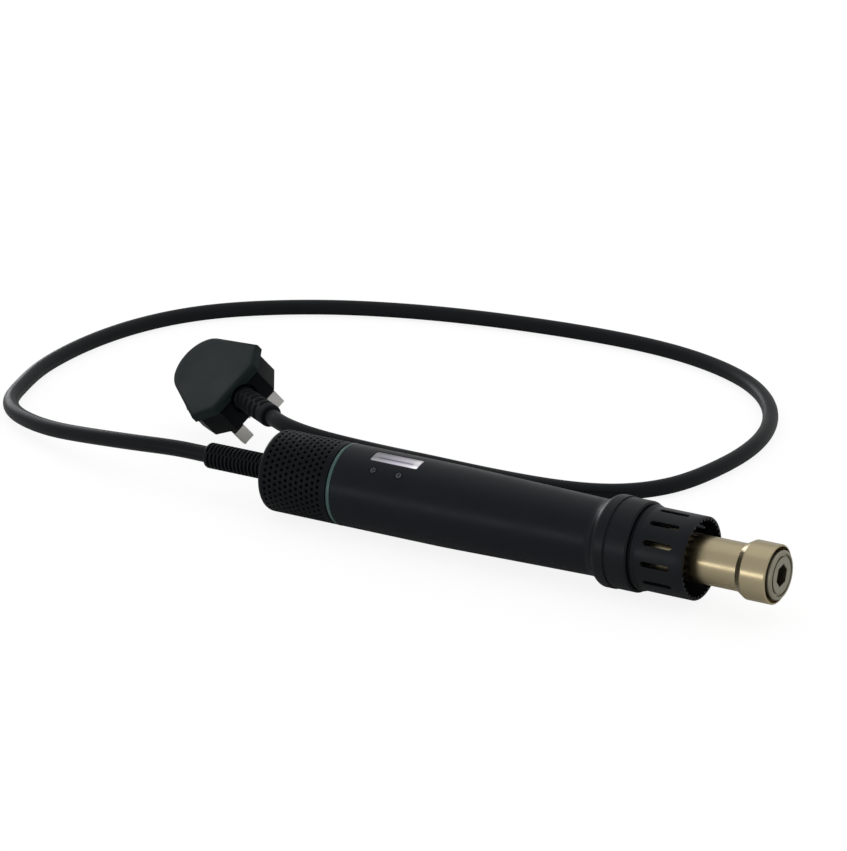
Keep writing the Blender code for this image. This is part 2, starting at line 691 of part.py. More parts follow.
def make_inner_frame():
    outer = BODY_BORE - GAP
    start = board_start()
    end = start + BOARD_LENGTH + FRAME_OVERHANG
    profile = tube_profile(end, start, outer, outer - FRAME_WALL)
    if end > TAPER_START:
        slope = (BODY_BORE - BODY_FRONT_BORE) / (BODY_TAPER_LENGTH - BODY_WALL)
        drop = slope * (end - TAPER_START)
        profile = [(end, outer - drop), (TAPER_START, outer), (start, outer), (start, outer - FRAME_WALL)]
        profile += [(TAPER_START, outer - FRAME_WALL), (end, outer - drop - FRAME_WALL)]
    frame = turned("inner_frame", profile, GREY_PLASTIC, FINE)
    size = (2 * BOARD_LENGTH, 2 * outer, 2 * BODY_RADIUS)
    block = on_board(start + BOARD_LENGTH / 2, 0.0, BOARD_HEIGHT - GAP + BODY_RADIUS) @ stretch(*size)
    combine(frame, add_cutter("frame_opening", box_mesh("frame_opening", [block]), tool))


def add_board_box(name, station, across, bottom, size, finish):
    matrix = on_board(station, across, bottom + size[2] / 2)
    add_part(name, box_mesh(name, [stretch(*size)]), finish, tool, matrix)


def make_board():
    middle = board_start() + BOARD_LENGTH / 2
    size = (BOARD_LENGTH, BOARD_WIDTH, BOARD_THICKNESS)
    add_board_box("control_board", middle, 0.0, BOARD_HEIGHT, size, GREEN_BOARD)
    base = BOARD_TOP + GAP
    lean = math.tan(KEY_ANGLE - BOARD_ANGLE)
    across = (base + MODULE_HEIGHT) * math.tan(BOARD_ANGLE)
    size = (MODULE_LENGTH, MODULE_WIDTH, MODULE_HEIGHT - GAP)
    add_board_box("display_module", DISPLAY_STATION, across, base, size, WHITE_PLASTIC)
    for side, station in key_stations().items():
        size = (SWITCH_SIDE, SWITCH_SIDE, SWITCH_HEIGHT - GAP)
        across = -(base + SWITCH_HEIGHT) * lean
        add_board_box("tact_switch_" + side, station, across, base, size, STEEL)


# Heater
def make_air_duct():
    front = TUBE_REAR + DUCT_OVERLAP
    throat = TUBE_RADIUS + GAP
    rear = front - DUCT_LENGTH
    slope = (BODY_BORE - BODY_FRONT_BORE) / (BODY_TAPER_LENGTH - BODY_WALL)
    mouth = BODY_BORE - slope * (rear + DUCT_RIM_LENGTH - TAPER_START) - GAP
    lead = TUBE_REAR - DUCT_THROAT_LEAD
    rim = rear + DUCT_RIM_LENGTH
    profile = [
        (front, throat + DUCT_WALL), (lead, throat + DUCT_WALL), (rim, mouth), (rear, mouth),
        (rear, mouth - DUCT_WALL), (rim, mouth - DUCT_WALL), (lead, throat), (front, throat),
    ]
    turned("air_duct", profile, WHITE_PLASTIC, MEDIUM)


def make_heater_tube():
    flange = COLLAR_BORE - GAP
    profile = [
        (TUBE_FRONT, TUBE_RADIUS), (FLANGE_FRONT, TUBE_RADIUS), (FLANGE_FRONT, flange), (FLANGE_REAR, flange),
        (FLANGE_REAR, TUBE_RADIUS), (TUBE_REAR, TUBE_RADIUS), (TUBE_REAR, TUBE_BORE), (TUBE_FRONT, TUBE_BORE),
    ]
    turned("heater_tube", profile, GOLD_STEEL, FINE)


def make_heater():
    base_rear = TUBE_REAR + HEATER_BASE_INSET
    base_front = base_rear + HEATER_BASE_THICKNESS
    lining = TUBE_BORE - GAP
    base = turned("heater_base", rod_profile(base_front, base_rear, lining), CERAMIC, MEDIUM)
    holes = bmesh.new()
    for i in range(HEATER_BASE_HOLES):
        angle = 2 * math.pi * i / HEATER_BASE_HOLES
        place = about_axis(angle) @ Matrix.Translation((base_rear, 0.0, HEATER_HOLE_CIRCLE)) @ ALONG_TOOL
        bmesh.ops.create_cone(
            holes, cap_ends=True, segments=SMALL, radius1=HEATER_HOLE_RADIUS, radius2=HEATER_HOLE_RADIUS,
            depth=4 * HEATER_BASE_THICKNESS, matrix=place)
    mesh = bpy.data.meshes.new("base_holes")
    holes.to_mesh(mesh)
    holes.free()
    combine(base, add_cutter("base_holes", mesh, tool))
    core_rear = base_front + GAP
    core_front = core_rear + CORE_LENGTH
    mica = tube_profile(core_rear + MICA_LENGTH, core_rear, lining, lining - MICA_THICKNESS)
    turned("mica_sleeve", mica, MICA, MEDIUM)
    reach = lining - MICA_THICKNESS - GAP
    outline = []
    for arm in range(CORE_ARMS):
        middle = 2 * math.pi * arm / CORE_ARMS
        half = math.pi / CORE_ARMS
        for radius, offset in ((reach, -0.25 * half), (reach, 0.25 * half), (CORE_ROOT_RADIUS, half)):
            outline.append((radius * math.cos(middle + offset), radius * math.sin(middle + offset)))
    mesh = outline_mesh("heater_core", outline, core_rear, core_front)
    add_part("heater_core", mesh, CERAMIC, tool, ALONG_TOOL)
    probe = rod_profile(core_front + GAP + PROBE_LENGTH, core_front + GAP, PROBE_RADIUS)
    turned("thermocouple", probe, STEEL, SMALL)


# Front end: collar, gasket, guard
def make_front_collar():
    bore = COLLAR_BORE
    neck_bore = GUARD_NECK_RADIUS + GAP
    stop_bore = TUBE_RADIUS + GUARD_TUBE_CLEARANCE
    groove = COLLAR_START + COLLAR_GROOVE_START
    groove_front = groove + COLLAR_GROOVE_WIDTH
    profile = [
        (COLLAR_END, neck_bore), (COLLAR_END, COLLAR_FRONT_RADIUS - COLLAR_CHAMFER),
        (COLLAR_END - COLLAR_CHAMFER, COLLAR_FRONT_RADIUS), (groove_front, COLLAR_FRONT_RADIUS),
        (groove_front, COLLAR_FRONT_RADIUS - COLLAR_GROOVE_DEPTH),
        (groove, COLLAR_RADIUS - COLLAR_GROOVE_DEPTH), (groove, COLLAR_RADIUS),
    ]
    rise = COLLAR_RADIUS - BODY_FRONT_RADIUS
    for i in range(5):
        t = i / 4
        height = COLLAR_START + COLLAR_FLARE * (1 - t)
        profile.append((height, COLLAR_RADIUS - rise * (1 - math.cos(0.5 * math.pi * t))))
    profile += [
        (COLLAR_START, bore), (COLLAR_STOP_START, bore), (COLLAR_STOP_START, stop_bore),
        (COLLAR_STOP_END, stop_bore), (COLLAR_STOP_END, neck_bore),
    ]
    turned("front_collar", profile, BLACK_PLASTIC, FINE)


def make_guard_gasket():
    inner = GUARD_NECK_RADIUS + GAP
    front = GASKET_START + GASKET_THICKNESS
    turned("guard_gasket", tube_profile(front, GASKET_START, GASKET_RADIUS, inner), DARK_FOAM, MEDIUM)


def make_heat_guard():
    floor = GUARD_START + GUARD_FLOOR
    profile = [
        (GUARD_END, GUARD_BORE), (GUARD_END, GUARD_RADIUS),
        (GUARD_START + GUARD_SHOULDER_LENGTH, GUARD_RADIUS), (GUARD_START, GUARD_SHOULDER_RADIUS),
        (GUARD_START, GUARD_NECK_RADIUS), (GUARD_NECK_END, GUARD_NECK_RADIUS),
        (GUARD_NECK_END, GUARD_TUBE_HOLE), (floor, GUARD_TUBE_HOLE), (floor, GUARD_BORE),
    ]
    guard = turned("heat_guard", profile, BLACK_PLASTIC, TOOTH_COUNT)
    combine(guard, make_slot_cutters())
    combine(guard, make_tooth_cutters())


def make_slot_cutters():
    """Slots with round ends, cut straight in toward the axis."""
    end = SLOT_WIDTH / 2
    half = SLOT_LENGTH / 2 - end
    outline = []
    for side in (1, -1):
        for i in range(4):
            angle = math.radians(60 * i - 90)
            outline.append((side * (half + end * math.cos(angle)), side * end * math.sin(angle)))
    middle = GUARD_START + SLOT_START + SLOT_LENGTH / 2
    slot = outline_mesh("slot", outline, GUARD_BORE - GUARD_WALL, GUARD_RADIUS + GUARD_WALL)
    shape = bmesh.new()
    for i in range(SLOT_COUNT):
        before = set(shape.verts)
        shape.from_mesh(slot)
        place = about_axis(SLOT_PHASE + 2 * math.pi * i / SLOT_COUNT) @ Matrix.Translation((middle, 0.0, 0.0))
        bmesh.ops.transform(shape, matrix=place, verts=[v for v in shape.verts if v not in before])
    mesh = bpy.data.meshes.new("slots")
    shape.to_mesh(mesh)
    shape.free()
    return add_cutter("slots", mesh, tool)


def make_tooth_cutters():
    """Notches in the inner half of the guard's mouth, which leave a ring of square teeth."""
    boxes = []
    for i in range(TOOTH_COUNT):
        angle = 2 * math.pi * (i + 0.5) / TOOTH_COUNT
        boxes.append(radial_box(GUARD_END, angle, GUARD_BORE, 2 * TOOTH_DEPTH, TOOTH_GAP, 1.2 * GUARD_WALL))
    return add_cutter("tooth_gaps", box_mesh("tooth_gaps", boxes), tool)


# Nozzle: a head that slides over the tube, with its outlet disc
def make_nozzle():
    cone_front = NOZZLE_START + NOZZLE_CONE
    pocket = DISC_RADIUS + DISC_CLEARANCE
    stop = NOZZLE_STOP_FRONT - NOZZLE_STOP_WIDTH
    edge = (NOZZLE_FRONT - HEAD_EDGE_ROUND, HEAD_RADIUS - HEAD_EDGE_ROUND)
    profile = [(NOZZLE_FRONT, pocket)] + corner_arc(edge, HEAD_EDGE_ROUND, 0.0, math.radians(90), 2)
    profile += [
        (cone_front, HEAD_RADIUS), (NOZZLE_START, NOZZLE_BORE + NOZZLE_LIP), (NOZZLE_START, NOZZLE_BORE),
        (stop, NOZZLE_BORE), (stop, NOZZLE_THROAT_RADIUS), (NOZZLE_STOP_FRONT, NOZZLE_THROAT_RADIUS),
        (NOZZLE_STOP_FRONT, pocket),
    ]
    turned("nozzle_shell", profile, GOLD_STEEL, FINE)


def make_outlet_disc():
    rear = NOZZLE_STOP_FRONT + GAP
    step_floor = DISC_FACE - DISC_STEP_DEPTH
    edge = (DISC_FACE - DISC_EDGE_ROUND, DISC_RADIUS - DISC_EDGE_ROUND)
    profile = [
        (step_floor, 0.0), (step_floor, DISC_STEP_RADIUS), (DISC_FACE, DISC_STEP_RADIUS),
    ]
    profile += corner_arc(edge, DISC_EDGE_ROUND, 0.0, math.radians(90), 3)
    profile += [(rear, DISC_RADIUS), (rear, 0.0)]
    disc = turned("outlet_disc", profile, DISC_STEEL, FINE)
    radius = OUTLET_ACROSS_FLATS / math.sqrt(3)
    outline = polygon_outline(6, radius, math.radians(30))
    hexagon = outline_mesh("outlet_hole", outline, rear - DISC_PROUD, DISC_FACE + DISC_PROUD)
    combine(disc, add_cutter("outlet_hole", hexagon, tool, ALONG_TOOL))


# Plug: its own frame has X toward the cable, Y across and Z away from the pins, with the pin face at Z = 0
def plug_outline(shoulder, half_width, front):
    """A shield shape: straight sides from the shoulders back to a large round far end."""
    centre = -PLUG_FAR_END + PLUG_FAR_ROUND
    lean = math.atan2(half_width, shoulder - centre)
    reach = math.hypot(half_width, shoulder - centre)
    tangent = lean + math.acos(PLUG_FAR_ROUND / reach)
    arc = []
    for i in range(13):
        angle = tangent + (2 * math.pi - 2 * tangent) * i / 12
        arc.append((centre + PLUG_FAR_ROUND * math.cos(angle), PLUG_FAR_ROUND * math.sin(angle)))
    upper = front + [(shoulder, half_width)]
    lower = [(x, -y) for x, y in reversed(upper)]
    return upper + arc + lower


def make_recess_cutter(name):
    """The round seat of the strain relief, sunk in the cable face of base and cover."""
    place = Matrix.Translation((0.0, 0.0, CABLE_AXIS_HEIGHT)) @ ALONG_TOOL
    recess = rod_profile(2 * PLUG_CABLE_EDGE, PLUG_CABLE_EDGE - PLUG_RECESS_DEPTH, PLUG_RECESS_RADIUS)
    return turned_cutter(name, recess, COARSE, place, plug)


def make_plug_base():
    half = PLUG_BASE_WIDTH / 2
    corner = PLUG_CABLE_EDGE - PLUG_CORNER_LENGTH
    front = [(PLUG_CABLE_EDGE, PLUG_CABLE_EDGE_WIDTH / 2), (corner, half)]
    outline = plug_outline(corner - PLUG_SIDE_LENGTH, half, front)
    mesh = outline_mesh("plug_base", outline, 0.0, PLUG_BASE_DEPTH)
    base = add_part("plug_base", mesh, BLACK_PLASTIC, plug)
    combine(base, make_recess_cutter("base_recess"))
    pockets = []
    for _, x, y, width, thickness, _ in pin_list():
        size = (thickness + 2 * GAP, width + 2 * GAP, 2 * (PIN_ROOT + GAP))
        pockets.append(Matrix.Translation((x, y, 0.0)) @ stretch(*size))
    combine(base, add_cutter("pin_pockets", box_mesh("pin_pockets", pockets), plug))
    size = (2 * FUSE_RADIUS + 4 * GAP, FUSE_LENGTH + 4 * GAP, 2 * FUSE_POCKET_DEPTH)
    pocket = Matrix.Translation((-FUSE_OFFSET, 0.0, 0.0)) @ stretch(*size)
    combine(base, add_cutter("fuse_pocket", box_mesh("fuse_pocket", [pocket]), plug))


def make_plug_cover():
    bottom = PLUG_BASE_DEPTH + GAP
    front = [(PLUG_CABLE_EDGE, PLUG_COVER_EDGE_WIDTH / 2)]
    outline = plug_outline(PLUG_COVER_CORNER, PLUG_COVER_WIDTH / 2, front)
    rounded = round_outline(outline, (1, len(outline) - 2), PLUG_CORNER_ROUND)
    mesh = outline_mesh("plug_cover", rounded, bottom, bottom + PLUG_COVER_DEPTH)
    cover = add_part("plug_cover", mesh, BLACK_PLASTIC, plug)
    round_edges(cover, PLUG_COVER_ROUND, 2, math.radians(60))
    combine(cover, make_recess_cutter("cover_recess"))


def round_outline(outline, corners, radius):
    """Each named corner becomes an arc that touches both of its sides."""
    points = [Vector(point) for point in outline]
    rounded = []
    for i, point in enumerate(points):
        if i not in corners:
            rounded.append(tuple(point))
            continue
        back = (points[i - 1] - point).normalized()
        ahead = (points[(i + 1) % len(points)] - point).normalized()
        half = back.angle(ahead) / 2
        centre = point + (back + ahead).normalized() * radius / math.sin(half)
        start = point + back * radius / math.tan(half) - centre
        end = point + ahead * radius / math.tan(half) - centre
        turn = start.angle_signed(end)
        for k in range(4):
            arm = start.copy()
            arm.rotate(Matrix.Rotation(-turn * k / 3, 2))
            rounded.append(tuple(centre + arm))
    return rounded


def make_plug_relief():
    start = PLUG_CABLE_EDGE - PLUG_RECESS_DEPTH + GAP
    end = PLUG_CABLE_EDGE + PLUG_RELIEF_LENGTH
    collar = end - PLUG_RELIEF_COLLAR
    pitch = (collar - PLUG_CABLE_EDGE) / PLUG_RELIEF_RIBS
    profile = [(end, 0.0), (end, PLUG_RELIEF_ROOT), (end - PLUG_RELIEF_EDGE, PLUG_RELIEF_RADIUS)]
    profile.append((collar, PLUG_RELIEF_RADIUS))
    for rib in range(PLUG_RELIEF_RIBS):
        foot = collar - rib * pitch
        rise = foot - PLUG_RELIEF_ROOT_SHARE * pitch
        profile += [(foot, PLUG_RELIEF_ROOT), (rise, PLUG_RELIEF_ROOT)]
        profile += [(rise, PLUG_RELIEF_RADIUS), (foot - pitch, PLUG_RELIEF_RADIUS)]
    profile += [(start, PLUG_RELIEF_RADIUS), (start, 0.0)]
    place = Matrix.Translation((0.0, 0.0, CABLE_AXIS_HEIGHT)) @ ALONG_TOOL
    turned("plug_relief", profile, BLACK_RUBBER, COARSE, place, plug)


def pin_list():
    """Name, place, width across, thickness toward the cable, and length of each pin."""
    return [
        ("plug_pin_live", 0.0, -PIN_SPREAD, PIN_WIDTH, PIN_THICKNESS, PIN_LENGTH),
        ("plug_pin_neutral", 0.0, PIN_SPREAD, PIN_WIDTH, PIN_THICKNESS, PIN_LENGTH),
        ("plug_pin_earth", -EARTH_OFFSET, 0.0, EARTH_WIDTH, EARTH_THICKNESS, EARTH_LENGTH),
    ]


def make_plug_pins():
    for name, x, y, width, thickness, length in pin_list():
        mesh = box_mesh(name, [stretch(thickness, width, length + PIN_ROOT)])
        shape = bmesh.new()
        shape.from_mesh(mesh)
        tips = [v for v in shape.verts if v.co.z < 0]
        for vertex in tips:
            vertex.co.x -= math.copysign(PIN_TIP_ROUND / 2, vertex.co.x)
            vertex.co.y -= math.copysign(PIN_TIP_ROUND / 2, vertex.co.y)
        shape.to_mesh(mesh)
        shape.free()
        middle = Matrix.Translation((x, y, (PIN_ROOT - length) / 2))
        add_part(name, mesh, PIN_METAL, plug, middle)


def make_fuse():
    middle = -FUSE_OFFSET
    size = (2 * FUSE_RADIUS + 2 * GAP, FUSE_LENGTH + 2 * GAP, FUSE_CARRIER_THICKNESS)
    place = Matrix.Translation((middle, 0.0, FUSE_CARRIER_THICKNESS / 2))
    add_part("fuse_carrier", box_mesh("fuse_carrier", [stretch(*size)]), GREY_PLASTIC, plug, place)
    height = FUSE_CARRIER_THICKNESS + GAP + FUSE_RADIUS
    place = Matrix.Translation((middle, 0.0, height)) @ Matrix.Rotation(math.radians(90), 4, 'X')
    turned("fuse", rod_profile(FUSE_LENGTH / 2, -FUSE_LENGTH / 2, FUSE_RADIUS), CERAMIC, COARSE, place, plug)


def make_plug():
    make_plug_base()
    make_plug_cover()
    make_plug_relief()
    make_plug_pins()
    make_fuse()


# Cord
def natural_spline(points):
    """Values and second slopes of a natural cubic through the points, over their chord lengths."""
    values = np.array(points)
    knots = np.concatenate([[0.0], np.cumsum(np.linalg.norm(np.diff(values, axis=0), axis=1))])
    spans = np.diff(knots)[:, None]
    slopes = np.diff(values, axis=0) / spans
    count = len(values)
    matrix = np.eye(count)
    right = np.zeros_like(values)
    for i in range(1, count - 1):
        matrix[i, i - 1:i + 2] = (spans[i - 1, 0], 2 * (spans[i - 1, 0] + spans[i, 0]), spans[i, 0])
        right[i] = 6 * (slopes[i] - slopes[i - 1])
    return knots, values, np.linalg.solve(matrix, right)


def spline_points(spline, count):
    knots, values, bends = spline
    at = np.linspace(0.0, knots[-1], count)
    i = np.clip(np.searchsorted(knots, at, side='right') - 1, 0, len(knots) - 2)
    span = (knots[i + 1] - knots[i])[:, None]
    a = (knots[i + 1] - at)[:, None] / span
    b = 1.0 - a
    bend = ((a ** 3 - a) * bends[i] + (b ** 3 - b) * bends[i + 1]) * span ** 2 / 6
    return a * values[i] + b * values[i + 1] + bend


def even_points(points, step):
    """The same line with points at even distances, about one step apart."""
    lengths = np.concatenate([[0.0], np.cumsum(np.linalg.norm(np.diff(points, axis=0), axis=1))])
    count = round(lengths[-1] / step) + 1
    at = np.linspace(0.0, lengths[-1], count)
    return np.stack([np.interp(at, lengths, points[:, k]) for k in range(3)], axis=1), lengths[-1]


def make_cord():
    """The lead runs straight out of both strain reliefs and lies on the surface between them."""
    tool_exit = tool.matrix_world @ Vector((RELIEF_END - GAP, 0.0, 0.0))
    tool_run = tool.matrix_world @ Vector((RELIEF_END - GAP - TOOL_CORD_STRAIGHT, 0.0, 0.0))
    relief_end = PLUG_CABLE_EDGE + PLUG_RELIEF_LENGTH + GAP
    plug_run = plug.matrix_world @ Vector((relief_end + PLUG_CORD_STRAIGHT, 0.0, CABLE_AXIS_HEIGHT))
    plug_exit = plug.matrix_world @ Vector((relief_end, 0.0, CABLE_AXIS_HEIGHT))
    route = [tuple(tool_exit), tuple(tool_run)] + CORD_ROUTE + [tuple(plug_run), tuple(plug_exit)]
    points, length = even_points(spline_points(natural_spline(route), 1200), CORD_STEP)
    print("Cord length", round(length, 4), "with", len(points), "points")
    curve = bpy.data.curves.new("cord", 'CURVE')
    curve.dimensions = '3D'
    curve.bevel_depth = CORD_RADIUS
    curve.bevel_resolution = 2
    curve.use_fill_caps = True
    spline = curve.splines.new('POLY')
    spline.points.add(len(points) - 1)
    for place, point in zip(spline.points, points):
        place.co = (*point, 1.0)
    cord = bpy.data.objects.new("cord", curve)
    curve.materials.append(add_material("cord", BLACK_RUBBER))
    parts.objects.link(cord)


# How the tool and the plug lie on the surface
def tool_matrix():
    """The tool rests on the cap's rear edge and the collar's rear rim, which is wider, so its tip is up."""
    cap_edge = CAP_REAR + CAP_EDGE_ROUND
    collar_edge = COLLAR_START + COLLAR_FLARE
    tilt = math.atan2(COLLAR_RADIUS - BODY_RADIUS, collar_edge - cap_edge)
    height = BODY_RADIUS * math.cos(tilt) - cap_edge * math.sin(tilt)
    middle = (DISC_FACE + RELIEF_END) / 2 * math.cos(tilt)
    place = Matrix.Translation((-middle, 0.0, height))
    return place @ Matrix.Rotation(-tilt, 4, 'Y') @ about_axis(ROLL)


def plug_matrix():
    """The stiff lead props the plug up on the tip of its live pin."""
    tip = PIN_SPREAD + PIN_WIDTH / 2 - PIN_TIP_ROUND / 2
    height = tip * math.sin(PLUG_LEAN) + PIN_LENGTH * math.cos(PLUG_LEAN)
    place = Matrix.Translation((PLUG_X, PLUG_Y, height)) @ Matrix.Rotation(PLUG_HEADING, 4, 'Z')
    return place @ Matrix.Rotation(PLUG_LEAN, 4, 'X')


clear_scene()
parts = add_collection("hot_air_tool")
cutters = add_collection("cutters")
tool = add_empty("tool_axis", tool_matrix())
plug = add_empty("plug_axis", plug_matrix())
bpy.context.view_layer.update()

make_rear_cap()
make_intake_filter()
make_strain_relief()
make_gland_nut()
fan_front, fan_bore = make_fan_housing()
make_impeller(make_fan_motor(fan_front), fan_bore)
make_light_ring()
make_body_shell()
make_display_window()
make_keys()
make_inner_frame()
make_board()
make_air_duct()
make_heater_tube()
make_heater()
make_front_collar()
make_guard_gasket()
make_heat_guard()
make_nozzle()
make_outlet_disc()
make_plug()
make_cord()
bpy.context.view_layer.update()
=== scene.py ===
import math

import bmesh
import bpy
import numpy as np
from mathutils import Matrix


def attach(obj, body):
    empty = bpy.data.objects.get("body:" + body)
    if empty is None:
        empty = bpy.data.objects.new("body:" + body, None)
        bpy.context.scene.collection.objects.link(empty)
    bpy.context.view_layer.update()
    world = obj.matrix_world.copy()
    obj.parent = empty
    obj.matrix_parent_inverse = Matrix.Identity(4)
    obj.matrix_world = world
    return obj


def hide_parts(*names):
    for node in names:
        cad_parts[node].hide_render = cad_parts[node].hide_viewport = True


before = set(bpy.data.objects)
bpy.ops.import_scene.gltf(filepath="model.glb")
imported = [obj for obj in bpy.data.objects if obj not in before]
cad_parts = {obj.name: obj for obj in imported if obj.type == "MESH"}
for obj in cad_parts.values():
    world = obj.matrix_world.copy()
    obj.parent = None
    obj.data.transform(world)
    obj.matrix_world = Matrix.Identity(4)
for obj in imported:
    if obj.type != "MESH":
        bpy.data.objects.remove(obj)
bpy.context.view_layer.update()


class Sizes(dict):
    # a piece's dictionary, whose values are also read with a dot
    __getattr__ = dict.__getitem__


# Sizes are in millimetres, and become metres where a piece is placed.
mm = 0.001
full = 2 * math.pi
fine = 144  # columns round a turned piece
weld = 2e-6  # metres

# How the tool and the plug lie. A station is a distance along the tool from the rear face of its ring, and an
# angle is counted from the display toward the near side.
layTool = Sizes(middle=(-74.995, 0.0, 19.7925), tilt=0.6427, roll=11.0)
layPlug = Sizes(middle=(-173.4, 62.0, 22.432), heading=-30.2, lean=40.8)


def turnAbout(axis, degrees):
    # the 3 by 3 turn about one axis
    return np.array(Matrix.Rotation(math.radians(degrees), 3, axis))


toolTurn = turnAbout("Y", -layTool.tilt) @ turnAbout("X", layTool.roll)
plugTurn = turnAbout("Z", layPlug.heading) @ turnAbout("X", layPlug.lean)


def onTool(points):
    # tool frame to world: turned by its tilt and roll, moved to its middle, in metres
    return (np.asarray(points, float).reshape(-1, 3) @ toolTurn.T + layTool.middle) * mm


def onPlug(points):
    # plug frame to world: X toward the cable, Y across, Z away from the pins
    return (np.asarray(points, float).reshape(-1, 3) @ plugTurn.T + layPlug.middle) * mm


def asBuilt(points):
    # millimetres in the world's own axes
    return np.asarray(points, float).reshape(-1, 3) * mm


view = Sizes(azimuth=31.07, elevation=20.85, distance=2289.0, target=(-33.5, 0.0, 57.0), lens=211.5,
             sensor=36.0, farthest=20.0)


def addCamera():
    # the camera stands back from the target along its own Z axis
    a, e = math.radians(view.azimuth), math.radians(view.elevation)
    right = np.array([math.cos(a), math.sin(a), 0.0])
    back = np.array([math.sin(a) * math.cos(e), -math.cos(a) * math.cos(e), math.sin(e)])
    up = np.cross(back, right)
    camera = bpy.data.objects.new("camera", bpy.data.cameras.new("camera"))
    camera.data.lens, camera.data.sensor_width, camera.data.clip_end = view.lens, view.sensor, view.farthest
    place = np.eye(4)
    place[:3, 0], place[:3, 1], place[:3, 2] = right, up, back
    place[:3, 3] = (np.array(view.target) + back * view.distance) * mm
    camera.matrix_world = Matrix(place.tolist())
    bpy.context.scene.collection.objects.link(camera)
    bpy.context.scene.camera = camera


addCamera()
print("camera is in place")


def rounded(corners, steps=4, closed=True):
    # Each corner (x, y, rounding) becomes an arc that touches both of its sides, with a point just outside each
    # end of the arc that keeps the flat beside it flat.
    points = np.array([c[:2] for c in corners], float)
    rounding = np.array([c[2] for c in corners], float)
    count = len(points)
    before, after = np.roll(points, 1, 0) - points, np.roll(points, -1, 0) - points
    lengthBefore = np.linalg.norm(before, axis=1)
    lengthAfter = np.linalg.norm(after, axis=1)
    u, v = before / lengthBefore[:, None], after / lengthAfter[:, None]
    half = np.arccos(np.clip((u * v).sum(1), -1, 1)) / 2
    cut = np.where(rounding > 0, rounding / np.tan(np.maximum(half, 1e-6)), 0.0)
    result = []
    for i in range(count):
        if rounding[i] == 0 or (not closed and i in (0, count - 1)):
            result.append(points[i][None])
            continue
        spareBefore = lengthBefore[i] - cut[i] - cut[i - 1]
        spareAfter = lengthAfter[i] - cut[i] - cut[(i + 1) % count]
        middle = points[i] + (u[i] + v[i]) / np.linalg.norm(u[i] + v[i]) * rounding[i] / math.sin(half[i])
        start, end = points[i] + u[i] * cut[i] - middle, points[i] + v[i] * cut[i] - middle
        sweep = math.atan2(start[0] * end[1] - start[1] * end[0], start @ end)
        t = np.linspace(0, sweep, steps + 1)
        arc = middle + np.stack([start[0] * np.cos(t) - start[1] * np.sin(t),
                                 start[0] * np.sin(t) + start[1] * np.cos(t)], 1)
        reach = 0.4 * rounding[i]
        first = arc[:1] + u[i] * min(reach, 0.3 * max(spareBefore, 0))
        last = arc[-1:] + v[i] * min(reach, 0.3 * max(spareAfter, 0))
        result += [first, arc, last]
    return np.concatenate(result)


def ringPoints(station, radius, angle):
    # Along the axis: the station. Across it: minus radius times sine. Up: radius times cosine.
    station, radius, angle = np.broadcast_arrays(station, radius, angle)
    return np.stack([station, -radius * np.sin(angle), radius * np.cos(angle)], -1)


def gridFaces(rows, columns, closedRows=True, closedColumns=True):
    # The four corners of each field between neighbouring rows and columns, as (row, column, corner).
    i = np.arange(rows if closedRows else rows - 1)[:, None]
    j = np.arange(columns if closedColumns else columns - 1)[None, :]
    below, beside = (i + 1) % rows, (j + 1) % columns
    return np.stack(np.broadcast_arrays(i * columns + j, i * columns + beside,
                                        below * columns + beside, below * columns + j), -1)


def turned(profile, columns=fine, closedRows=True):
    # a profile of (station, radius) carried once round the axis, at even angles or at the angles given
    profile = np.asarray(profile, float)
    angle = np.arange(columns) * full / columns if np.isscalar(columns) else columns
    points = ringPoints(profile[:, :1], profile[:, 1:], angle[None])
    return points, gridFaces(len(profile), len(angle), closedRows)


def sidePoints(corners, count):
    # Points at even steps along the line through the corners, without the last one.
    corners = np.asarray(corners, float)
    length = np.concatenate([[0], np.cumsum(np.linalg.norm(np.diff(corners, axis=0), axis=1))])
    at = np.linspace(0, length[-1], count + 1)[:-1]
    return np.stack([np.interp(at, length, corners[:, k]) for k in (0, 1)], 1)


def holeOutline(half, corner, anchor, counts):
    # A rectangle with round corners, or a circle or slot where the corners meet. It goes round in four sides,
    # which start and end on the corner arcs at the anchor angle.
    a, b = half[0] - corner, half[1] - corner
    turn = [-anchor, 0, anchor, 90, 180 - anchor, 180, 180 + anchor, 270, 360 - anchor]
    middles = [(a, -b), (a, b), (a, b), (-a, b), (-a, b), (-a, -b), (-a, -b), (a, -b)]
    sides = []
    for k in range(4):
        arcs = []
        for part in (0, 1):
            t = np.radians(np.linspace(turn[2 * k + part], turn[2 * k + part + 1], 12))
            middle = middles[2 * k + part]
            arcs.append(np.stack([middle[0] + corner * np.cos(t), middle[1] + corner * np.sin(t)], 1))
        sides.append(sidePoints(np.concatenate(arcs), counts[k]))
    return np.concatenate(sides)


fullRings = ((0, 0, 0), (0.5, 1, 0), (1, 2, 0), (1, 1, 0), (1, 0.3, 0.3), (1, 0, 1), (1, 0, 4), (1, 0, None),
             (0.5, 0, None), (0, 0, None))


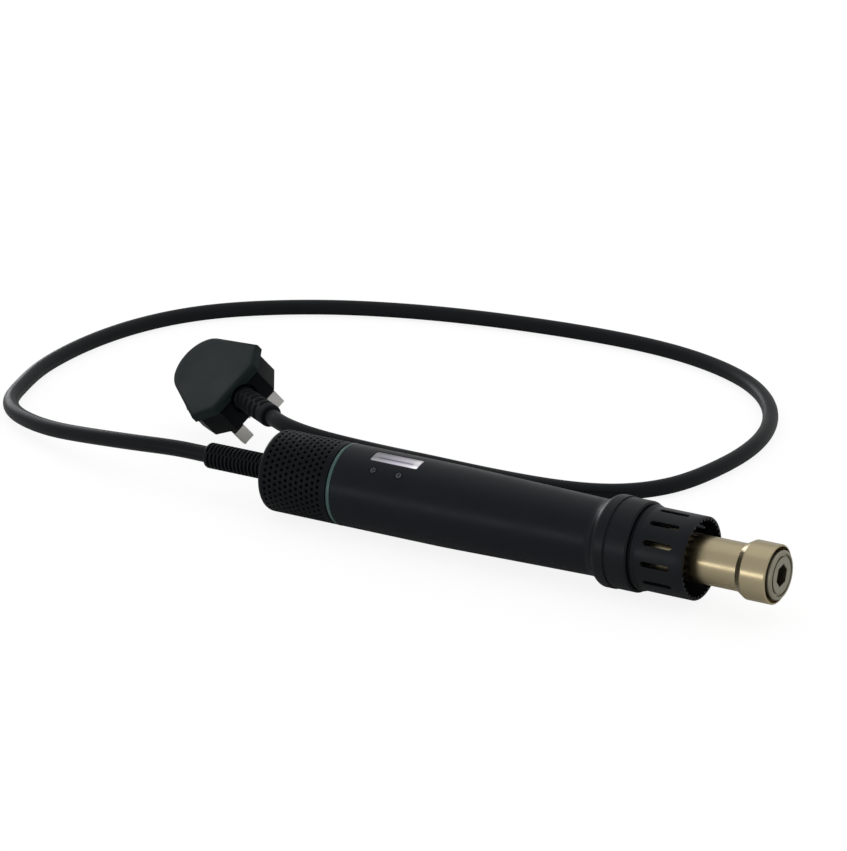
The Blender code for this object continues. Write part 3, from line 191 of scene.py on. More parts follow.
def holeCells(stations, angles, centre, radius, half, corner, wall, anchor=45.0, edge=0.15, moves=((0.0, 0.0),),
              rings=fullRings):
    # A wall panel between the given stations and angles, with a hole through it. Rings of points blend from the
    # panel's border to the hole's outline, go over its rounded edge, down the wall, and back to the border
    # inside. The panel is repeated with each move (station, angle).
    nS, nA = len(stations) - 1, len(angles) - 1
    sides = ((np.full(nA, stations[-1]), angles[:-1]), (stations[:0:-1], np.full(nS, angles[-1])),
             (np.full(nA, stations[0]), angles[:0:-1]), (stations[:-1], np.full(nS, angles[0])))
    border = np.concatenate([np.stack(side, 1) for side in sides])
    counts = (nA, nS, nA, nS)
    levels = []
    for share, grow, depth in rings:
        grow, depth = grow * edge, wall if depth is None else depth * edge
        outline = holeOutline((half[0] + grow, half[1] + grow), corner + grow, anchor, counts)
        hole = np.stack([centre[0] + outline[:, 0], centre[1] + outline[:, 1] / radius], 1)
        flat = (1 - share) * border + share * hole
        levels.append(np.concatenate([flat, np.full((len(flat), 1), radius - depth)], 1))
    cell = np.stack(levels)[None] + np.array([(s, a, 0.0) for s, a in moves])[:, None, None, :]
    points = ringPoints(cell[..., 0], cell[..., 2], cell[..., 1])
    faces = gridFaces(len(levels), len(border), False).reshape(1, -1, 4)
    step = np.arange(len(cell))[:, None, None] * len(levels) * len(border)
    return points, faces + step


def outwardOf(outline):
    # at each point, the line between its neighbours, turned by a right angle to the outside
    ahead = np.roll(outline, -1, 0) - np.roll(outline, 1, 0)
    out = np.stack([ahead[:, 1], -ahead[:, 0]], 1) / np.linalg.norm(ahead, axis=1)[:, None]
    return out if (outline * out).sum() > 0 else -out


def atHeight(flat, height):
    # flat points (x, y) with one z
    return np.column_stack([flat, np.full(len(flat), height)])


def slab(outline, levels):
    # A closed outline (x, y) drawn in by each level's inset at its height: the first and last level close over
    # their middle, in rings of a falling share of the outline.
    outline = np.asarray(outline, float)
    out, middle = outwardOf(outline), outline.mean(0)
    rows = [atHeight(outline - out * inset, height) for inset, height in levels]
    closings = []
    for inset, height in (levels[0], levels[-1]):
        rim = outline - out * inset
        closings.append([atHeight(middle + (rim - middle) * share, height) for share in (0.94, 0.6, 0.3, 0.0)])
    points = np.stack(closings[0][::-1] + rows + closings[1])
    return points, gridFaces(len(points), len(outline), False)


def edgeLevels(bottom, top, rounding, steps=4):
    # Levels (inset, height) of a slab whose upper and lower edges are quarter rounds.
    t = np.linspace(0, math.pi / 2, steps + 1)
    inset, rise = rounding * (1 - np.sin(t)), rounding * (1 - np.cos(t))
    lower = [(i, bottom + r) for i, r in zip(inset, rise)]
    upper = [(i, top - r) for i, r in zip(inset[::-1], rise[::-1])]
    return lower + upper


def addPiece(name, shells, place, look, stands=(), body="tool", sharp=38.0):
    # Joins closed shells into one mesh, welds their seams and poles, and turns their faces outward.
    points, faces, first = [], [], 0
    for shellPoints, shellFaces in shells:
        shellPoints = np.asarray(shellPoints, float).reshape(-1, 3)
        points.append(place(shellPoints))
        faces.append(np.asarray(shellFaces).reshape(-1, 4) + first)
        first += len(shellPoints)
    mesh = bpy.data.meshes.new(name)
    mesh.from_pydata(np.concatenate(points).tolist(), [], np.concatenate(faces).tolist())
    shape = bmesh.new()
    shape.from_mesh(mesh)
    bmesh.ops.remove_doubles(shape, verts=shape.verts, dist=weld)
    bmesh.ops.recalc_face_normals(shape, faces=shape.faces)
    shape.to_mesh(mesh)
    shape.free()
    mesh.shade_smooth()
    mesh.set_sharp_from_angle(angle=math.radians(sharp))
    mesh.materials.append(looks[look])
    piece = bpy.data.objects.new(name, mesh)
    bpy.context.scene.collection.objects.link(piece)
    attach(piece, body)
    if stands:
        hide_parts(*stands)
    return piece


def newLook(name):
    # a new material, its tree and its shader
    look = bpy.data.materials.new(name)
    look.use_nodes = True
    return look, look.node_tree, look.node_tree.nodes["Principled BSDF"]


def setInputs(node, values):
    # plain values, by the input's name or number
    for name, value in values.items():
        node.inputs[name].default_value = value


def addNode(tree, kind, values={}, sources={}):
    # one shader node, with plain values and with the outputs that feed it, both by the input's name
    node = tree.nodes.new("ShaderNode" + kind)
    setInputs(node, values)
    for name, source in sources.items():
        tree.links.new(source, node.inputs[name])
    return node


def addNoise(tree, where, scale, detail):
    # fractal noise with so many cells a metre
    return addNode(tree, "TexNoise", {"Scale": scale, "Detail": detail}, {"Vector": where}).outputs["Fac"]


def addRamp(tree, source, stops):
    # a colour ramp through stops (place, colour), where one number stands for a grey
    node = addNode(tree, "ValToRGB", {}, {"Fac": source})
    elements = node.color_ramp.elements
    while len(elements) < len(stops):
        elements.new(0.5)
    for element, (at, shade) in zip(elements, stops):
        element.position, element.color = at, (*np.broadcast_to(shade, 3), 1.0)
    return node.outputs["Color"]


def addWear(tree, shader, source, low, high):
    # the middle of a noise's range is spread over the roughness from low to high
    values = {"From Min": noise.low, "From Max": noise.high, "To Min": low, "To Max": high}
    spread = addNode(tree, "MapRange", values, {"Value": source})
    tree.links.new(spread.outputs["Result"], shader.inputs["Roughness"])


def addLift(tree, shader, source, strength, depth):
    # the noise lifts the surface by up to the depth, in millimetres, times the strength
    lift = addNode(tree, "Bump", {"Strength": strength, "Distance": depth * mm}, {"Height": source})
    tree.links.new(lift.outputs["Normal"], shader.inputs["Normal"])


noise = Sizes(low=0.3, high=0.7, patchDetail=4.0, grainDetail=3.0, wear=0.06, coatRough=0.15)
steel = Sizes(lines=900.0, lineDepth=0.02, cloud=90.0, cloudDetail=5.0, smoother=0.05, rougher=0.06,
              wander=0.008, vary=0.05)


def shaded(name, colour, rough, metal=0.0, vary=0.12, patch=60.0, grain=1500.0, bump=0.08, coat=0.0, depth=0.05,
           specular=0.5, sheen=(1.0, 1.0, 1.0)):
    # One finish: slow patches shift its colour and roughness a little, and a fine grain lifts its surface.
    look, tree, shader = newLook(name)
    where = addNode(tree, "TexCoord").outputs["Object"]
    slow = addNoise(tree, where, patch, noise.patchDetail)
    low, high = [tuple(c * k for c in colour) for k in (1 - vary, 1 + vary)]
    tint = addRamp(tree, slow, ((noise.low, low), (noise.high, high)))
    tree.links.new(tint, shader.inputs["Base Color"])
    addWear(tree, shader, slow, rough - noise.wear, rough + noise.wear)
    addLift(tree, shader, addNoise(tree, where, grain, noise.grainDetail), bump, depth)
    setInputs(shader, {"Metallic": metal, "Coat Weight": coat, "Coat Roughness": noise.coatRough,
                       "Specular IOR Level": specular, "Specular Tint": (*sheen, 1.0)})
    return look


def black(name, colour, rough, specular, grain=2400.0, bump=0.08, **rest):
    # a black with a slightly blue reflection
    return shaded(name, colour, rough, specular=specular, sheen=(0.84, 0.90, 1.0), grain=grain, bump=bump, **rest)


looks = {
    "body": black("satinBlack", (0.0058, 0.0066, 0.0088), 0.38, 0.20, 2600.0),
    "cap": black("matteBlack", (0.0036, 0.0042, 0.0050), 0.46, 0.14, 2200.0, 0.14, vary=0.15),
    "guard": black("heatproofBlack", (0.0062, 0.0070, 0.0084), 0.36, 0.215, 2000.0, 0.12),
    "relief": black("softRubber", (0.0046, 0.0056, 0.0062), 0.55, 0.185, bump=0.20, vary=0.20),
    "cord": black("leadSheath", (0.0046, 0.0056, 0.0062), 0.40, 0.185, 1800.0, 0.10, patch=25.0),
    "plug": black("plugBlack", (0.0022, 0.0026, 0.0032), 0.45, 0.09, bump=0.16),
    "plugCover": black("coverBlack", (0.0085, 0.0150, 0.0145), 0.55, 0.14, bump=0.1, vary=0.08),
    "gasket": black("darkSeal", (0.0050, 0.0052, 0.0060), 0.70, 0.15, bump=0.2),
    "key": black("keyRubber", (0.0058, 0.0066, 0.0088), 0.40, 0.20, 3000.0, 0.10),
    "icon": shaded("iconGrey", (0.105, 0.108, 0.118), 0.50, specular=0.20, grain=3000.0, bump=0.05),
    "pin": shaded("nickel", (0.66, 0.65, 0.62), 0.24, metal=1.0, vary=0.06, grain=1200.0, bump=0.04),
    "sleeve": shaded("pinSleeve", (0.01, 0.01, 0.01), 0.5, specular=0.25),
}


def tintedRing():
    # teal plastic that light enters a little
    look = shaded("tealRing", (0.058, 0.118, 0.108), 0.30, specular=0.4, vary=0.10, grain=2500.0, bump=0.05)
    setInputs(look.node_tree.nodes["Principled BSDF"], {"Subsurface Weight": 0.15, "Subsurface Scale": 1.0 * mm})
    return look


def turnedSteel(name, colour, rough, stops=None, bump=0.05):
    # Polished steel with fine turning lines round the tool's axis. Its colour follows a cloud, or, where stops
    # are given, X: metres, moved a little by the cloud, become places on the ramp.
    look, tree, shader = newLook(name)
    where = addNode(tree, "TexCoord").outputs["Object"]
    x = addNode(tree, "SeparateXYZ", {}, {"Vector": where}).outputs["X"]
    along = addNode(tree, "CombineXYZ", {}, {"X": x}).outputs["Vector"]
    ripple = addNoise(tree, along, steel.lines, noise.grainDetail)
    cloud = source = addNoise(tree, where, steel.cloud, steel.cloudDetail)
    addWear(tree, shader, cloud, rough - steel.smoother, rough + steel.rougher)
    shades = [(at, [c * k for c in colour]) for at, k in ((0.0, 1 - steel.vary), (1.0, 1 + steel.vary))]
    if stops:
        wander = addNode(tree, "Math")
        wander.operation = "MULTIPLY_ADD"
        setInputs(wander, {1: steel.wander})
        tree.links.new(cloud, wander.inputs[0])
        tree.links.new(x, wander.inputs[2])
        first, last = stops[0][0], stops[-1][0]
        place = addNode(tree, "MapRange", {"From Min": first, "From Max": last}, {"Value": wander.outputs[0]})
        source = place.outputs[0]
        shades = [((at - first) / (last - first), shade) for at, shade in stops]
    tree.links.new(addRamp(tree, source, shades), shader.inputs["Base Color"])
    addLift(tree, shader, ripple, bump, steel.lineDepth)
    setInputs(shader, {"Metallic": 1.0})
    return look


champagne = (0.53, 0.452, 0.29)
looks["ring"] = tintedRing()
# painted shade: the stops darken the tube almost to black about the guard's mouth, where it comes out of the guard,
# and it is champagne again on either side
looks["tube"] = turnedSteel("steelWithPaintedMouthShade", champagne, 0.30, bump=0.02, stops=(
    (0.088, champagne), (0.104, champagne), (0.109, (0.08, 0.06, 0.035)), (0.1125, (0.11, 0.082, 0.048)),
    (0.117, (0.34, 0.28, 0.17)), (0.122, champagne), (0.145, champagne)))
looks["head"] = turnedSteel("champagneSteel", champagne, 0.26, bump=0.02)
looks["disc"] = turnedSteel("discSteel", (0.37, 0.345, 0.265), 0.34)


def screenWithPaintedLight():
    # The display's own map runs along it (u) and across it toward the near side (v). A ramp over u paints a
    # reflection that brightens it toward the front, a ramp over v paints a shaded far edge and lit bands toward the
    # near side, and a dark line lies where v and u are both in its range. This painted picture is also given as its
    # glow.
    look, tree, shader = newLook("screen")
    where = addNode(tree, "UVMap")
    where.uv_map = "screen"
    split = addNode(tree, "SeparateXYZ", {}, {"Vector": where.outputs["UV"]})

    def blend(kind, first, second):
        node = addNode(tree, "Mix")
        node.data_type, node.blend_type = "RGBA", kind
        setInputs(node, {"Factor": 1.0})
        tree.links.new(first, node.inputs["A"])
        tree.links.new(second, node.inputs["B"])
        return node.outputs["Result"]

    u, v = split.outputs["X"], split.outputs["Y"]
    # painted reflection: lighter toward the front end
    along = addRamp(tree, u, ((0.0, (0.27, 0.27, 0.28)), (0.30, (0.36, 0.35, 0.40)), (0.60, (0.54, 0.51, 0.60)),
                              (0.82, (0.68, 0.66, 0.73)), (0.93, (0.98, 0.96, 1.0))))
    # painted shade and highlight: dark at the far edge, lighter bands toward the near edge
    across = addRamp(tree, v, ((0.0, 0.30), (0.12, 0.40), (0.30, 0.62), (0.42, 0.72), (0.56, 0.58), (0.72, 0.62),
                               (0.86, 1.0), (1.0, 0.95)))
    violet = (0.34, 0.28, 0.40)
    streak = addRamp(tree, v, ((0.58, 1.0), (0.63, violet), (0.67, violet), (0.72, 1.0)))
    ends = addRamp(tree, u, ((0.12, 1.0), (0.24, 0.0), (0.80, 0.0), (0.90, 1.0)))
    line = blend("LIGHTEN", streak, ends)
    paintedLightAndLine = blend("MULTIPLY", blend("MULTIPLY", along, across), line)
    # the painted light is used both as colour and as glow
    for name in ("Base Color", "Emission Color"):
        tree.links.new(paintedLightAndLine, shader.inputs[name])
    setInputs(shader, {"Emission Strength": 0.45, "Roughness": 0.22, "Specular IOR Level": 0.4})
    return look


looks["screen"] = screenWithPaintedLight()
print("materials are made")


# The lead leaves both reliefs straight and lies on the surface in one wide loop.
lead = Sizes(
    radius=3.9, toolStraight=15.0, plugStraight=9.0, inside=1.5, gap=0.3, rows=720, columns=24,
    route=[
        (-188.0, 0.3, 17.2), (-208.0, 2.5, 14.8), (-229.0, 6.5, 11.8), (-250.0, 12.0, 8.8), (-270.0, 20.0, 6.6),
        (-286.0, 30.0, 5.3), (-297.5, 43.5, 4.5), (-305.0, 62.0, 4.0), (-311.0, 85.0, 4.0), (-313.5, 112.0, 4.0),
        (-311.5, 142.0, 4.0), (-303.0, 174.0, 4.0), (-286.5, 202.5, 4.0), (-264.0, 224.0, 4.0),
        (-237.0, 241.5, 4.0), (-205.0, 255.5, 4.0), (-169.0, 266.0, 4.0), (-130.0, 273.0, 4.0), (-90.0, 276.5, 4.0),
        (-55.0, 275.0, 4.0), (-23.0, 267.0, 4.0), (5.0, 252.0, 4.0), (27.0, 229.0, 4.0), (41.0, 200.0, 4.0),
        (46.0, 168.0, 4.0), (43.5, 138.0, 4.0), (35.0, 110.0, 4.0), (18.3, 91.4, 4.0), (-5.7, 82.0, 4.0),
        (-34.6, 78.5, 4.0), (-52.7, 76.7, 4.5), (-67.4, 70.9, 7.1), (-80.1, 56.9, 13.3), (-87.1, 42.3, 19.9),
        (-99.7, 30.9, 25.4), (-117.1, 26.9, 28.6),
    ],
)
relief = Sizes(
    front=-31.7, neck=5.6, shoulder=-38.3, end=-76.8, radius=6.15, depth=1.15, grooves=17,
    width=0.27, edgeRound=1.6, columns=96, turn=math.radians(45), slope=0.2,
)
plugRelief = Sizes(
    start=12.5, body=15.2, collar=39.0, end=43.2, radius=5.6, depth=1.0, grooves=5,
    width=0.24, axis=9.4, edgeRound=0.9, columns=72, turn=0.0, slope=0.3,
)
groove = Sizes(rows=16, blur=0.07, point=5)


def throughPoints(points, count):
    # natural cubic spline over the chord lengths: second slopes solve a tridiagonal system, and each span blends
    # its two ends and their second slopes
    values = np.asarray(points, float)
    knots = np.concatenate([[0.0], np.cumsum(np.linalg.norm(np.diff(values, axis=0), axis=1))])
    spans = np.diff(knots)
    slopes = np.diff(values, axis=0) / spans[:, None]
    last = len(values) - 1
    system = np.eye(len(values))
    inner = np.arange(1, last)
    system[inner, inner - 1], system[inner, inner], system[inner, inner + 1] = (
        spans[:-1], 2 * (spans[:-1] + spans[1:]), spans[1:])
    right = np.zeros_like(values)
    right[1:last] = 6 * np.diff(slopes, axis=0)
    bends = np.linalg.solve(system, right)
    at = np.linspace(0.0, knots[-1], count)
    i = np.clip(np.searchsorted(knots, at, side="right") - 1, 0, last - 1)
    b = ((at - knots[i]) / spans[i])[:, None]
    a = 1.0 - b
    bend = ((a ** 3 - a) * bends[i] + (b ** 3 - b) * bends[i + 1]) * spans[i][:, None] ** 2 / 6
    return a * values[i] + b * values[i + 1] + bend


def tubeAlong(path, radius, columns):
    # a circle across the path's direction at each of its points, closed at both ends
    direction = np.gradient(path, axis=0)
    direction /= np.linalg.norm(direction, axis=1)[:, None]
    side = np.cross(direction, (0.0, 0.0, 1.0))
    side /= np.linalg.norm(side, axis=1)[:, None]
    up = np.cross(side, direction)
    turn = np.arange(columns) * full / columns
    circle = np.cos(turn)[None, :, None] * side[:, None] + np.sin(turn)[None, :, None] * up[:, None]
    points = path[:, None] + radius * circle
    first = np.repeat(path[:1, None], columns, 1)
    last = np.repeat(path[-1:, None], columns, 1)
    points = np.concatenate([first, points, last])
    return points, gridFaces(len(points), columns, False)


def addLead():
    # straight out of the tool's relief, along the route, and straight into the plug's
    toolEnd, plugEnd = relief.end - lead.gap, plugRelief.end + lead.gap
    start = [onTool((toolEnd - d, 0, 0))[0] / mm for d in (-lead.inside, 0.0, lead.toolStraight)]
    tail = [onPlug((plugEnd + d, 0, plugRelief.axis))[0] / mm for d in (lead.plugStraight, 0.0, -lead.inside)]
    path = throughPoints(start + lead.route + tail, lead.rows)
    piece = addPiece("lead", [tubeAlong(path, lead.radius, lead.columns)], asBuilt, "cord", ["cord"])
    return piece, path * mm


leadPiece, leadPath = addLead()
leadLength = float(np.linalg.norm(np.diff(leadPath, axis=0), axis=1).sum())
print("lead is made, metres:", round(leadLength, 4))


def brokenGrooves(station, angle, pitch, width):
    # Four quarters round the axis, each with its own grooves. Every second quarter's are moved on by half a
    # pitch, and a groove narrows to a point at both ends of its quarter, so that neighbours mesh as a zigzag.
    # Returned: 0 on a crest, 1 in a groove.
    quarter = (angle / (full / 4)) % 4
    half = np.abs(quarter % 1.0 - 0.5) * 2
    along = (station / pitch - 0.5 * (np.floor(quarter) % 2)) % 1.0 - 0.5
    reach = width * np.sqrt(np.clip(1.0 - half ** groove.point, 0.0, 1.0))
    return np.clip((reach - np.abs(along)) / groove.blur + 0.5, 0.0, 1.0)


def addRelief(p, name, place, node, before, base, side, length, rows, pitch, shift, fades, sweep):
    # Plain rings, then a sleeve whose radius is the crest less the depth of its broken grooves, then a round end.
    # The sleeve starts at the base and runs to the given side, and its grooves fade in and out at its ends.
    turn = np.arange(p.columns) * full / p.columns
    along = np.linspace(0.0, length, rows)
    station, angle = np.meshgrid(along, turn, indexing="ij")
    fade = np.clip((along - fades[0]) / p.slope, 0, 1) * np.clip((along[-1] - along) / fades[1], 0, 1)
    sleeve = p.radius - p.depth * brokenGrooves(station + shift, angle, pitch, p.width) * fade[:, None]
    start = p.radius - p.edgeRound
    tip = [(p.end - side * p.edgeRound * (1 - math.sin(t)), start + p.edgeRound * math.cos(t)) for t in sweep]
    tip += [(p.end, start * 0.6), (p.end, 0.0)]
    stations = np.concatenate([[s for s, _ in before], base + side * along, [s for s, _ in tip]])
    radii = np.concatenate([np.repeat([[r] for _, r in before], p.columns, 1), sleeve,
                            np.repeat([[r] for _, r in tip], p.columns, 1)])
    points = ringPoints(stations[:, None], radii, turn[None] + p.turn) + np.array([0.0, 0.0, p.get("axis", 0.0)])
    return addPiece(name, [(points, gridFaces(len(points), p.columns, False))], place, "relief",
                    [node])


def addToolRelief():
    # a plain neck that enters the cap, then the sleeve, with one groove's length more than its grooves take
    p = relief
    length = p.shoulder - p.end
    pitch = length / (p.grooves + 1)
    neck = [(p.front, 0.0), (p.front, p.neck - 0.3), (p.front - 0.3, p.neck),
            (p.shoulder + 0.3, p.neck), (p.shoulder, p.neck), (p.shoulder, p.radius - 0.25)]
    return addRelief(p, "reliefSleeve", onTool, "strain_relief", neck, p.shoulder, -1, length - p.edgeRound,
                     (p.grooves + 1) * groove.rows, pitch, 0.0, (0.25 * pitch, 0.2),
                     np.linspace(0, math.pi / 2, 6)[1:])


def addPlugRelief():
    # fewer and deeper grooves, with a plain collar at the cable's end
    p = plugRelief
    length = p.collar - p.body
    pitch = length / p.grooves
    root = [(p.start, 0.0), (p.start, 4.6), (p.start, p.radius - 0.2), (p.start + 0.2, p.radius)]
    return addRelief(p, "plugSleeve", onPlug, "plug_relief", root, p.body, 1, length,
                     p.grooves * groove.rows + 1, pitch, 0.2 * pitch, (0.1, 0.15), np.linspace(0, math.pi / 2, 5))


addToolRelief()
plugSleeve = addPlugRelief()

# Intake cap: a turned cap whose wall is a panel of round holes in staggered rows.
cap = Sizes(
    radius=19.4, wall=1.6, rear=-38.0, floor=-35.5, front=-0.3, hole=5.9, edgeRound=2.9,
    rows=11, holesRound=40, first=-34.85, pitch=2.9, holeRadius=0.78, samples=4,
)


def addCap():
    # the panel's one cell is repeated, every second row moved on by half a cell, between two turned ends
    p = cap
    inside = p.radius - p.wall
    last = p.first + p.rows * p.pitch
    columns = p.holesRound * p.samples
    cell = full / p.holesRound
    moves = [(row * p.pitch, (i + 0.5 * (row % 2)) * cell)
             for row in range(p.rows) for i in range(p.holesRound)]
    panel = holeCells(np.linspace(p.first, p.first + p.pitch, p.samples + 1),
                      np.linspace(0, cell, p.samples + 1), (p.first + 0.5 * p.pitch, 0.5 * cell),
                      p.radius, (p.holeRadius,) * 2, p.holeRadius, p.wall, edge=0.12, moves=moves,
                      rings=((0, 0, 0), (1, 1.0, 0), (1, 0, 1.0), (1, 0, None), (0, 0, None)))
    rear = rounded([(p.first, p.radius, 0), (p.rear, p.radius, p.edgeRound),
                    (p.rear, p.hole, 0.4), (p.floor, p.hole, 0.3), (p.floor, inside, 0.8),
                    (p.first, inside, 0)], 8, False)
    front = rounded([(last, p.radius, 0), (p.front, p.radius, 0.25), (p.front, inside, 0.2),
                     (last, inside, 0)], 3, False)
    addPiece("intakeCap", [panel, turned(rear, columns, False), turned(front, columns, False)], onTool,
             "cap", ["rear_cap"], sharp=50.0)


addCap()

# Ring and body tube. The body's wall has a panel round the display and the two keys.
ring = Sizes(start=0.0, step=0.7, end=2.0, rear=19.0, radius=19.48, inner=17.8, edgeRound=0.3)
body = Sizes(
    start=2.3, radius=19.4, wall=2.0, spigotEnd=-2.8, spigot=17.5, spigotBore=15.5, taper=56.0,
    knee=600.0, front=139.1, frontRadius=17.77, swell=1.15, swellLength=4.4, frontSpigot=15.4,
    frontEnd=146.0, panel=(15.0, 28.8, 44.5), columns=120,
)
display = Sizes(station=29.8, length=25.3, width=7.9, corner=0.7, gap=0.2, radius=19.25, thick=1.6,
                halfPanel=15.0)
key = Sizes(
    stations=(21.95, 35.65), angle=28.0, panel=(18.0, 39.0), radius=2.1, gap=0.06, proud=0.1,
    dome=((0.0, 0.0), (0.02, 0.9), (0.06, 1.5), (0.11, 1.85), (0.19, 2.03), (0.32, 2.1)),
    flange=(-3.33, -2.53), flangeRadius=2.8, stem=1.5, stemEnd=-3.67,
)

addPiece("tealBand", [turned(rounded([(ring.start, ring.rear, 0.1), (ring.step, ring.radius, 0.4),
                                      (ring.end, ring.radius, ring.edgeRound),
                                      (ring.end, ring.inner, 0.2), (ring.start, ring.inner, 0.2)]))],
         onTool, "ring", ["light_ring"])


def addBody():
    # Cells with a hole for the display and each key, plain sheets round the rest, and turned ends. The swell at
    # the front grows with the square of the share of its length.
    p, inside = body, body.radius - body.wall
    first, middle, last = p.panel
    stations = np.concatenate([np.linspace(first, middle, 9), np.linspace(middle, last, 9)[1:]])
    step = 360 // p.columns
    half = display.halfPanel
    low, high = key.panel

    def angles(start, end):
        return np.radians(np.arange(start, end + 1, step))

    shells = [holeCells(stations, angles(-half, half), (display.station, 0.0), p.radius,
                        (display.length / 2, display.width / 2), display.corner, p.wall)]
    hole = key.radius + key.gap
    for station, rows in zip(key.stations, (stations[:9], stations[8:])):
        shells.append(holeCells(rows, angles(low, high), (station, math.radians(key.angle)), p.radius,
                                (hole, hole), hole, p.wall, edge=0.12))
    for turn in (angles(half, low), angles(high, 360 - half)):
        for radius in (p.radius, inside):
            points = ringPoints(stations[:, None], radius, turn[None])
            shells.append((points, gridFaces(len(stations), len(turn), False, False)))
    rear = rounded([(first, p.radius, 0), (p.start, p.radius, 0.25), (p.start, p.spigot, 0.2),
                    (p.spigotEnd, p.spigot, 0.2), (p.spigotEnd, p.spigotBore, 0.2),
                    (p.start + 1.0, p.spigotBore, 0.2), (p.start + 2.9, inside, 0.3),
                    (first, inside, 0)], 3, False)
    swell = [(p.front - p.swellLength * (1 - t), p.frontRadius + p.swell * t * t, 0)
             for t in np.linspace(0, 1, 9)]
    bore = p.frontSpigot - p.wall
    front = rounded([(last, p.radius, 0), (p.taper, p.radius, p.knee), *swell,
                     (p.front, p.frontSpigot, 0.2), (p.frontEnd, p.frontSpigot, 0.3),
                     (p.frontEnd, bore, 0.3), (p.front, bore, 0.2),
                     (p.front - 2.0, p.frontRadius - p.wall, 0.3), (p.taper, inside, 20.0),
                     (last, inside, 0)], 6, False)
    shells += [turned(rear, p.columns, False), turned(front, p.columns, False)]
    addPiece("bodyTube", shells, onTool, "body", ["body_shell"], sharp=50.0)


addBody()


def bent(radius, angle=0.0):
    # flat sizes laid on a cylinder: (along, across, height) becomes station, angle across / radius, radius + height
    def place(points):
        points = np.asarray(points, float).reshape(-1, 3)
        return onTool(ringPoints(points[:, 0], radius + points[:, 2], math.radians(angle) + points[:, 1] / radius))
    return place


def rectangle(length, width, corner, samples=16):
    # a rectangle with round corners, counted out evenly along its sides
    return holeOutline((length / 2, width / 2), corner, 45.0, (samples, 2 * samples, samples, 2 * samples))


def addDisplay():
    # a slab of the window's outline less its gap, bent onto the body
    p = display
    outline = rectangle(p.length - 2 * p.gap, p.width - 2 * p.gap, p.corner - p.gap)
    outline = outline + np.array([p.station, 0.0])
    piece = addPiece("displayCover", [slab(outline, edgeLevels(-p.thick, 0.0, 0.12, 2))], bent(p.radius),
                     "screen", ["display_window"])
    # its map: share of the length along the tool, and share of the width from the far edge to the near one
    mesh = piece.data
    spots = np.array([corner.co for corner in mesh.vertices]) / mm
    station, y, z = ((spots - layTool.middle) @ toolTurn).T
    u = (station - p.station) / p.length + 0.5
    v = np.arctan2(-y, z) * p.radius / p.width + 0.5
    corners = np.array([loop.vertex_index for loop in mesh.loops])
    mesh.uv_layers.new(name="screen").data.foreach_set("uv", np.stack([u, v], 1)[corners].ravel())


def onKey(station):
    # key frame to tool: X along the tool, Y across, Z straight out of the body from its surface
    turn = math.radians(key.angle)
    def place(points):
        x, y, z = np.asarray(points, float).reshape(-1, 3).T
        out = body.radius + z
        return onTool(np.stack([station + x, y * math.cos(turn) - out * math.sin(turn),
                                y * math.sin(turn) + out * math.cos(turn)], 1))
    return place


def upright(profile, columns=48):
    # a profile of (height, radius) carried once round Z
    profile = np.asarray(profile, float)
    turn = np.arange(columns)[None] * full / columns
    height, radius = profile[:, :1], profile[:, 1:]
    points = np.stack(np.broadcast_arrays(radius * np.cos(turn), radius * np.sin(turn), height), -1)
    return points, gridFaces(len(profile), columns, False)


fanMark = Sizes(blades=6, turn=20.0, reach=(0.35, 1.50), width=0.38, root=0.55, sweep=0.35, columns=20)
powerMark = Sizes(radii=(0.60, 1.30), arc=(120.0, 420.0), columns=32, bar=(0.40, 0.80, 0.1), barAt=(0.0, 1.0))


def openRing(bottom, top):
    # an arc of a flat ring between two angles, with a face at each end
    columns = powerMark.columns
    inner, outer = powerMark.radii
    turn = np.radians(np.linspace(*powerMark.arc, columns))
    rows = [(inner, bottom), (outer, bottom), (outer, top), (inner, top)]
    points = np.stack([np.stack([r * np.cos(turn), r * np.sin(turn), np.full(columns, z)], -1) for r, z in rows])
    ends = np.array([[0, 1, 2, 3]]) * columns
    return points, np.concatenate([gridFaces(4, columns, True, False).reshape(-1, 4), ends, ends + columns - 1])


def petal(turn, bottom, top):
    # one blade of the fan mark: a leaf between two radii, widest toward its tip and swept to one side
    p = fanMark
    t = np.linspace(0, full, p.columns, endpoint=False)
    low, high = p.reach
    share = 0.5 - 0.5 * np.cos(t)
    along = low + (high - low) * share
    across = p.width * np.sin(t) * (p.root + (1 - p.root) * share)
    lean = math.radians(turn) + p.sweep * share
    outline = np.stack([along * np.cos(lean) - across * np.sin(lean),
                        along * np.sin(lean) + across * np.cos(lean)], 1)
    return slab(outline, [(0.0, bottom), (0.0, top)])


def addKeys():
    # a domed top (drop, radius), then straight down to a flange that stays inside, and a stem to the switch
    p = key
    low, high = p.flange
    profile = [(p.proud - drop, radius) for drop, radius in p.dome]
    profile += [(high, p.radius), (high, p.flangeRadius), (low, p.flangeRadius), (low, p.stem),
                (p.stemEnd, p.stem), (p.stemEnd, 0.0)]
    low, high = p.proud - 0.12, p.proud + 0.02
    fan = [petal(360.0 / fanMark.blades * k + fanMark.turn, low, high) for k in range(fanMark.blades)]
    bar = rectangle(*powerMark.bar, 4) + np.array(powerMark.barAt)
    power = [openRing(low, high), slab(bar, [(0.0, low), (0.0, high)])]
    for side, station, mark in (("left", p.stations[0], fan), ("right", p.stations[1], power)):
        rides = side + "_key"
        addPiece(side + "Key", [upright(profile)], onKey(station), "key", ["key_" + side], rides)
        addPiece(side + "KeyMark", mark, onKey(station), "icon", (), rides, 30.0)


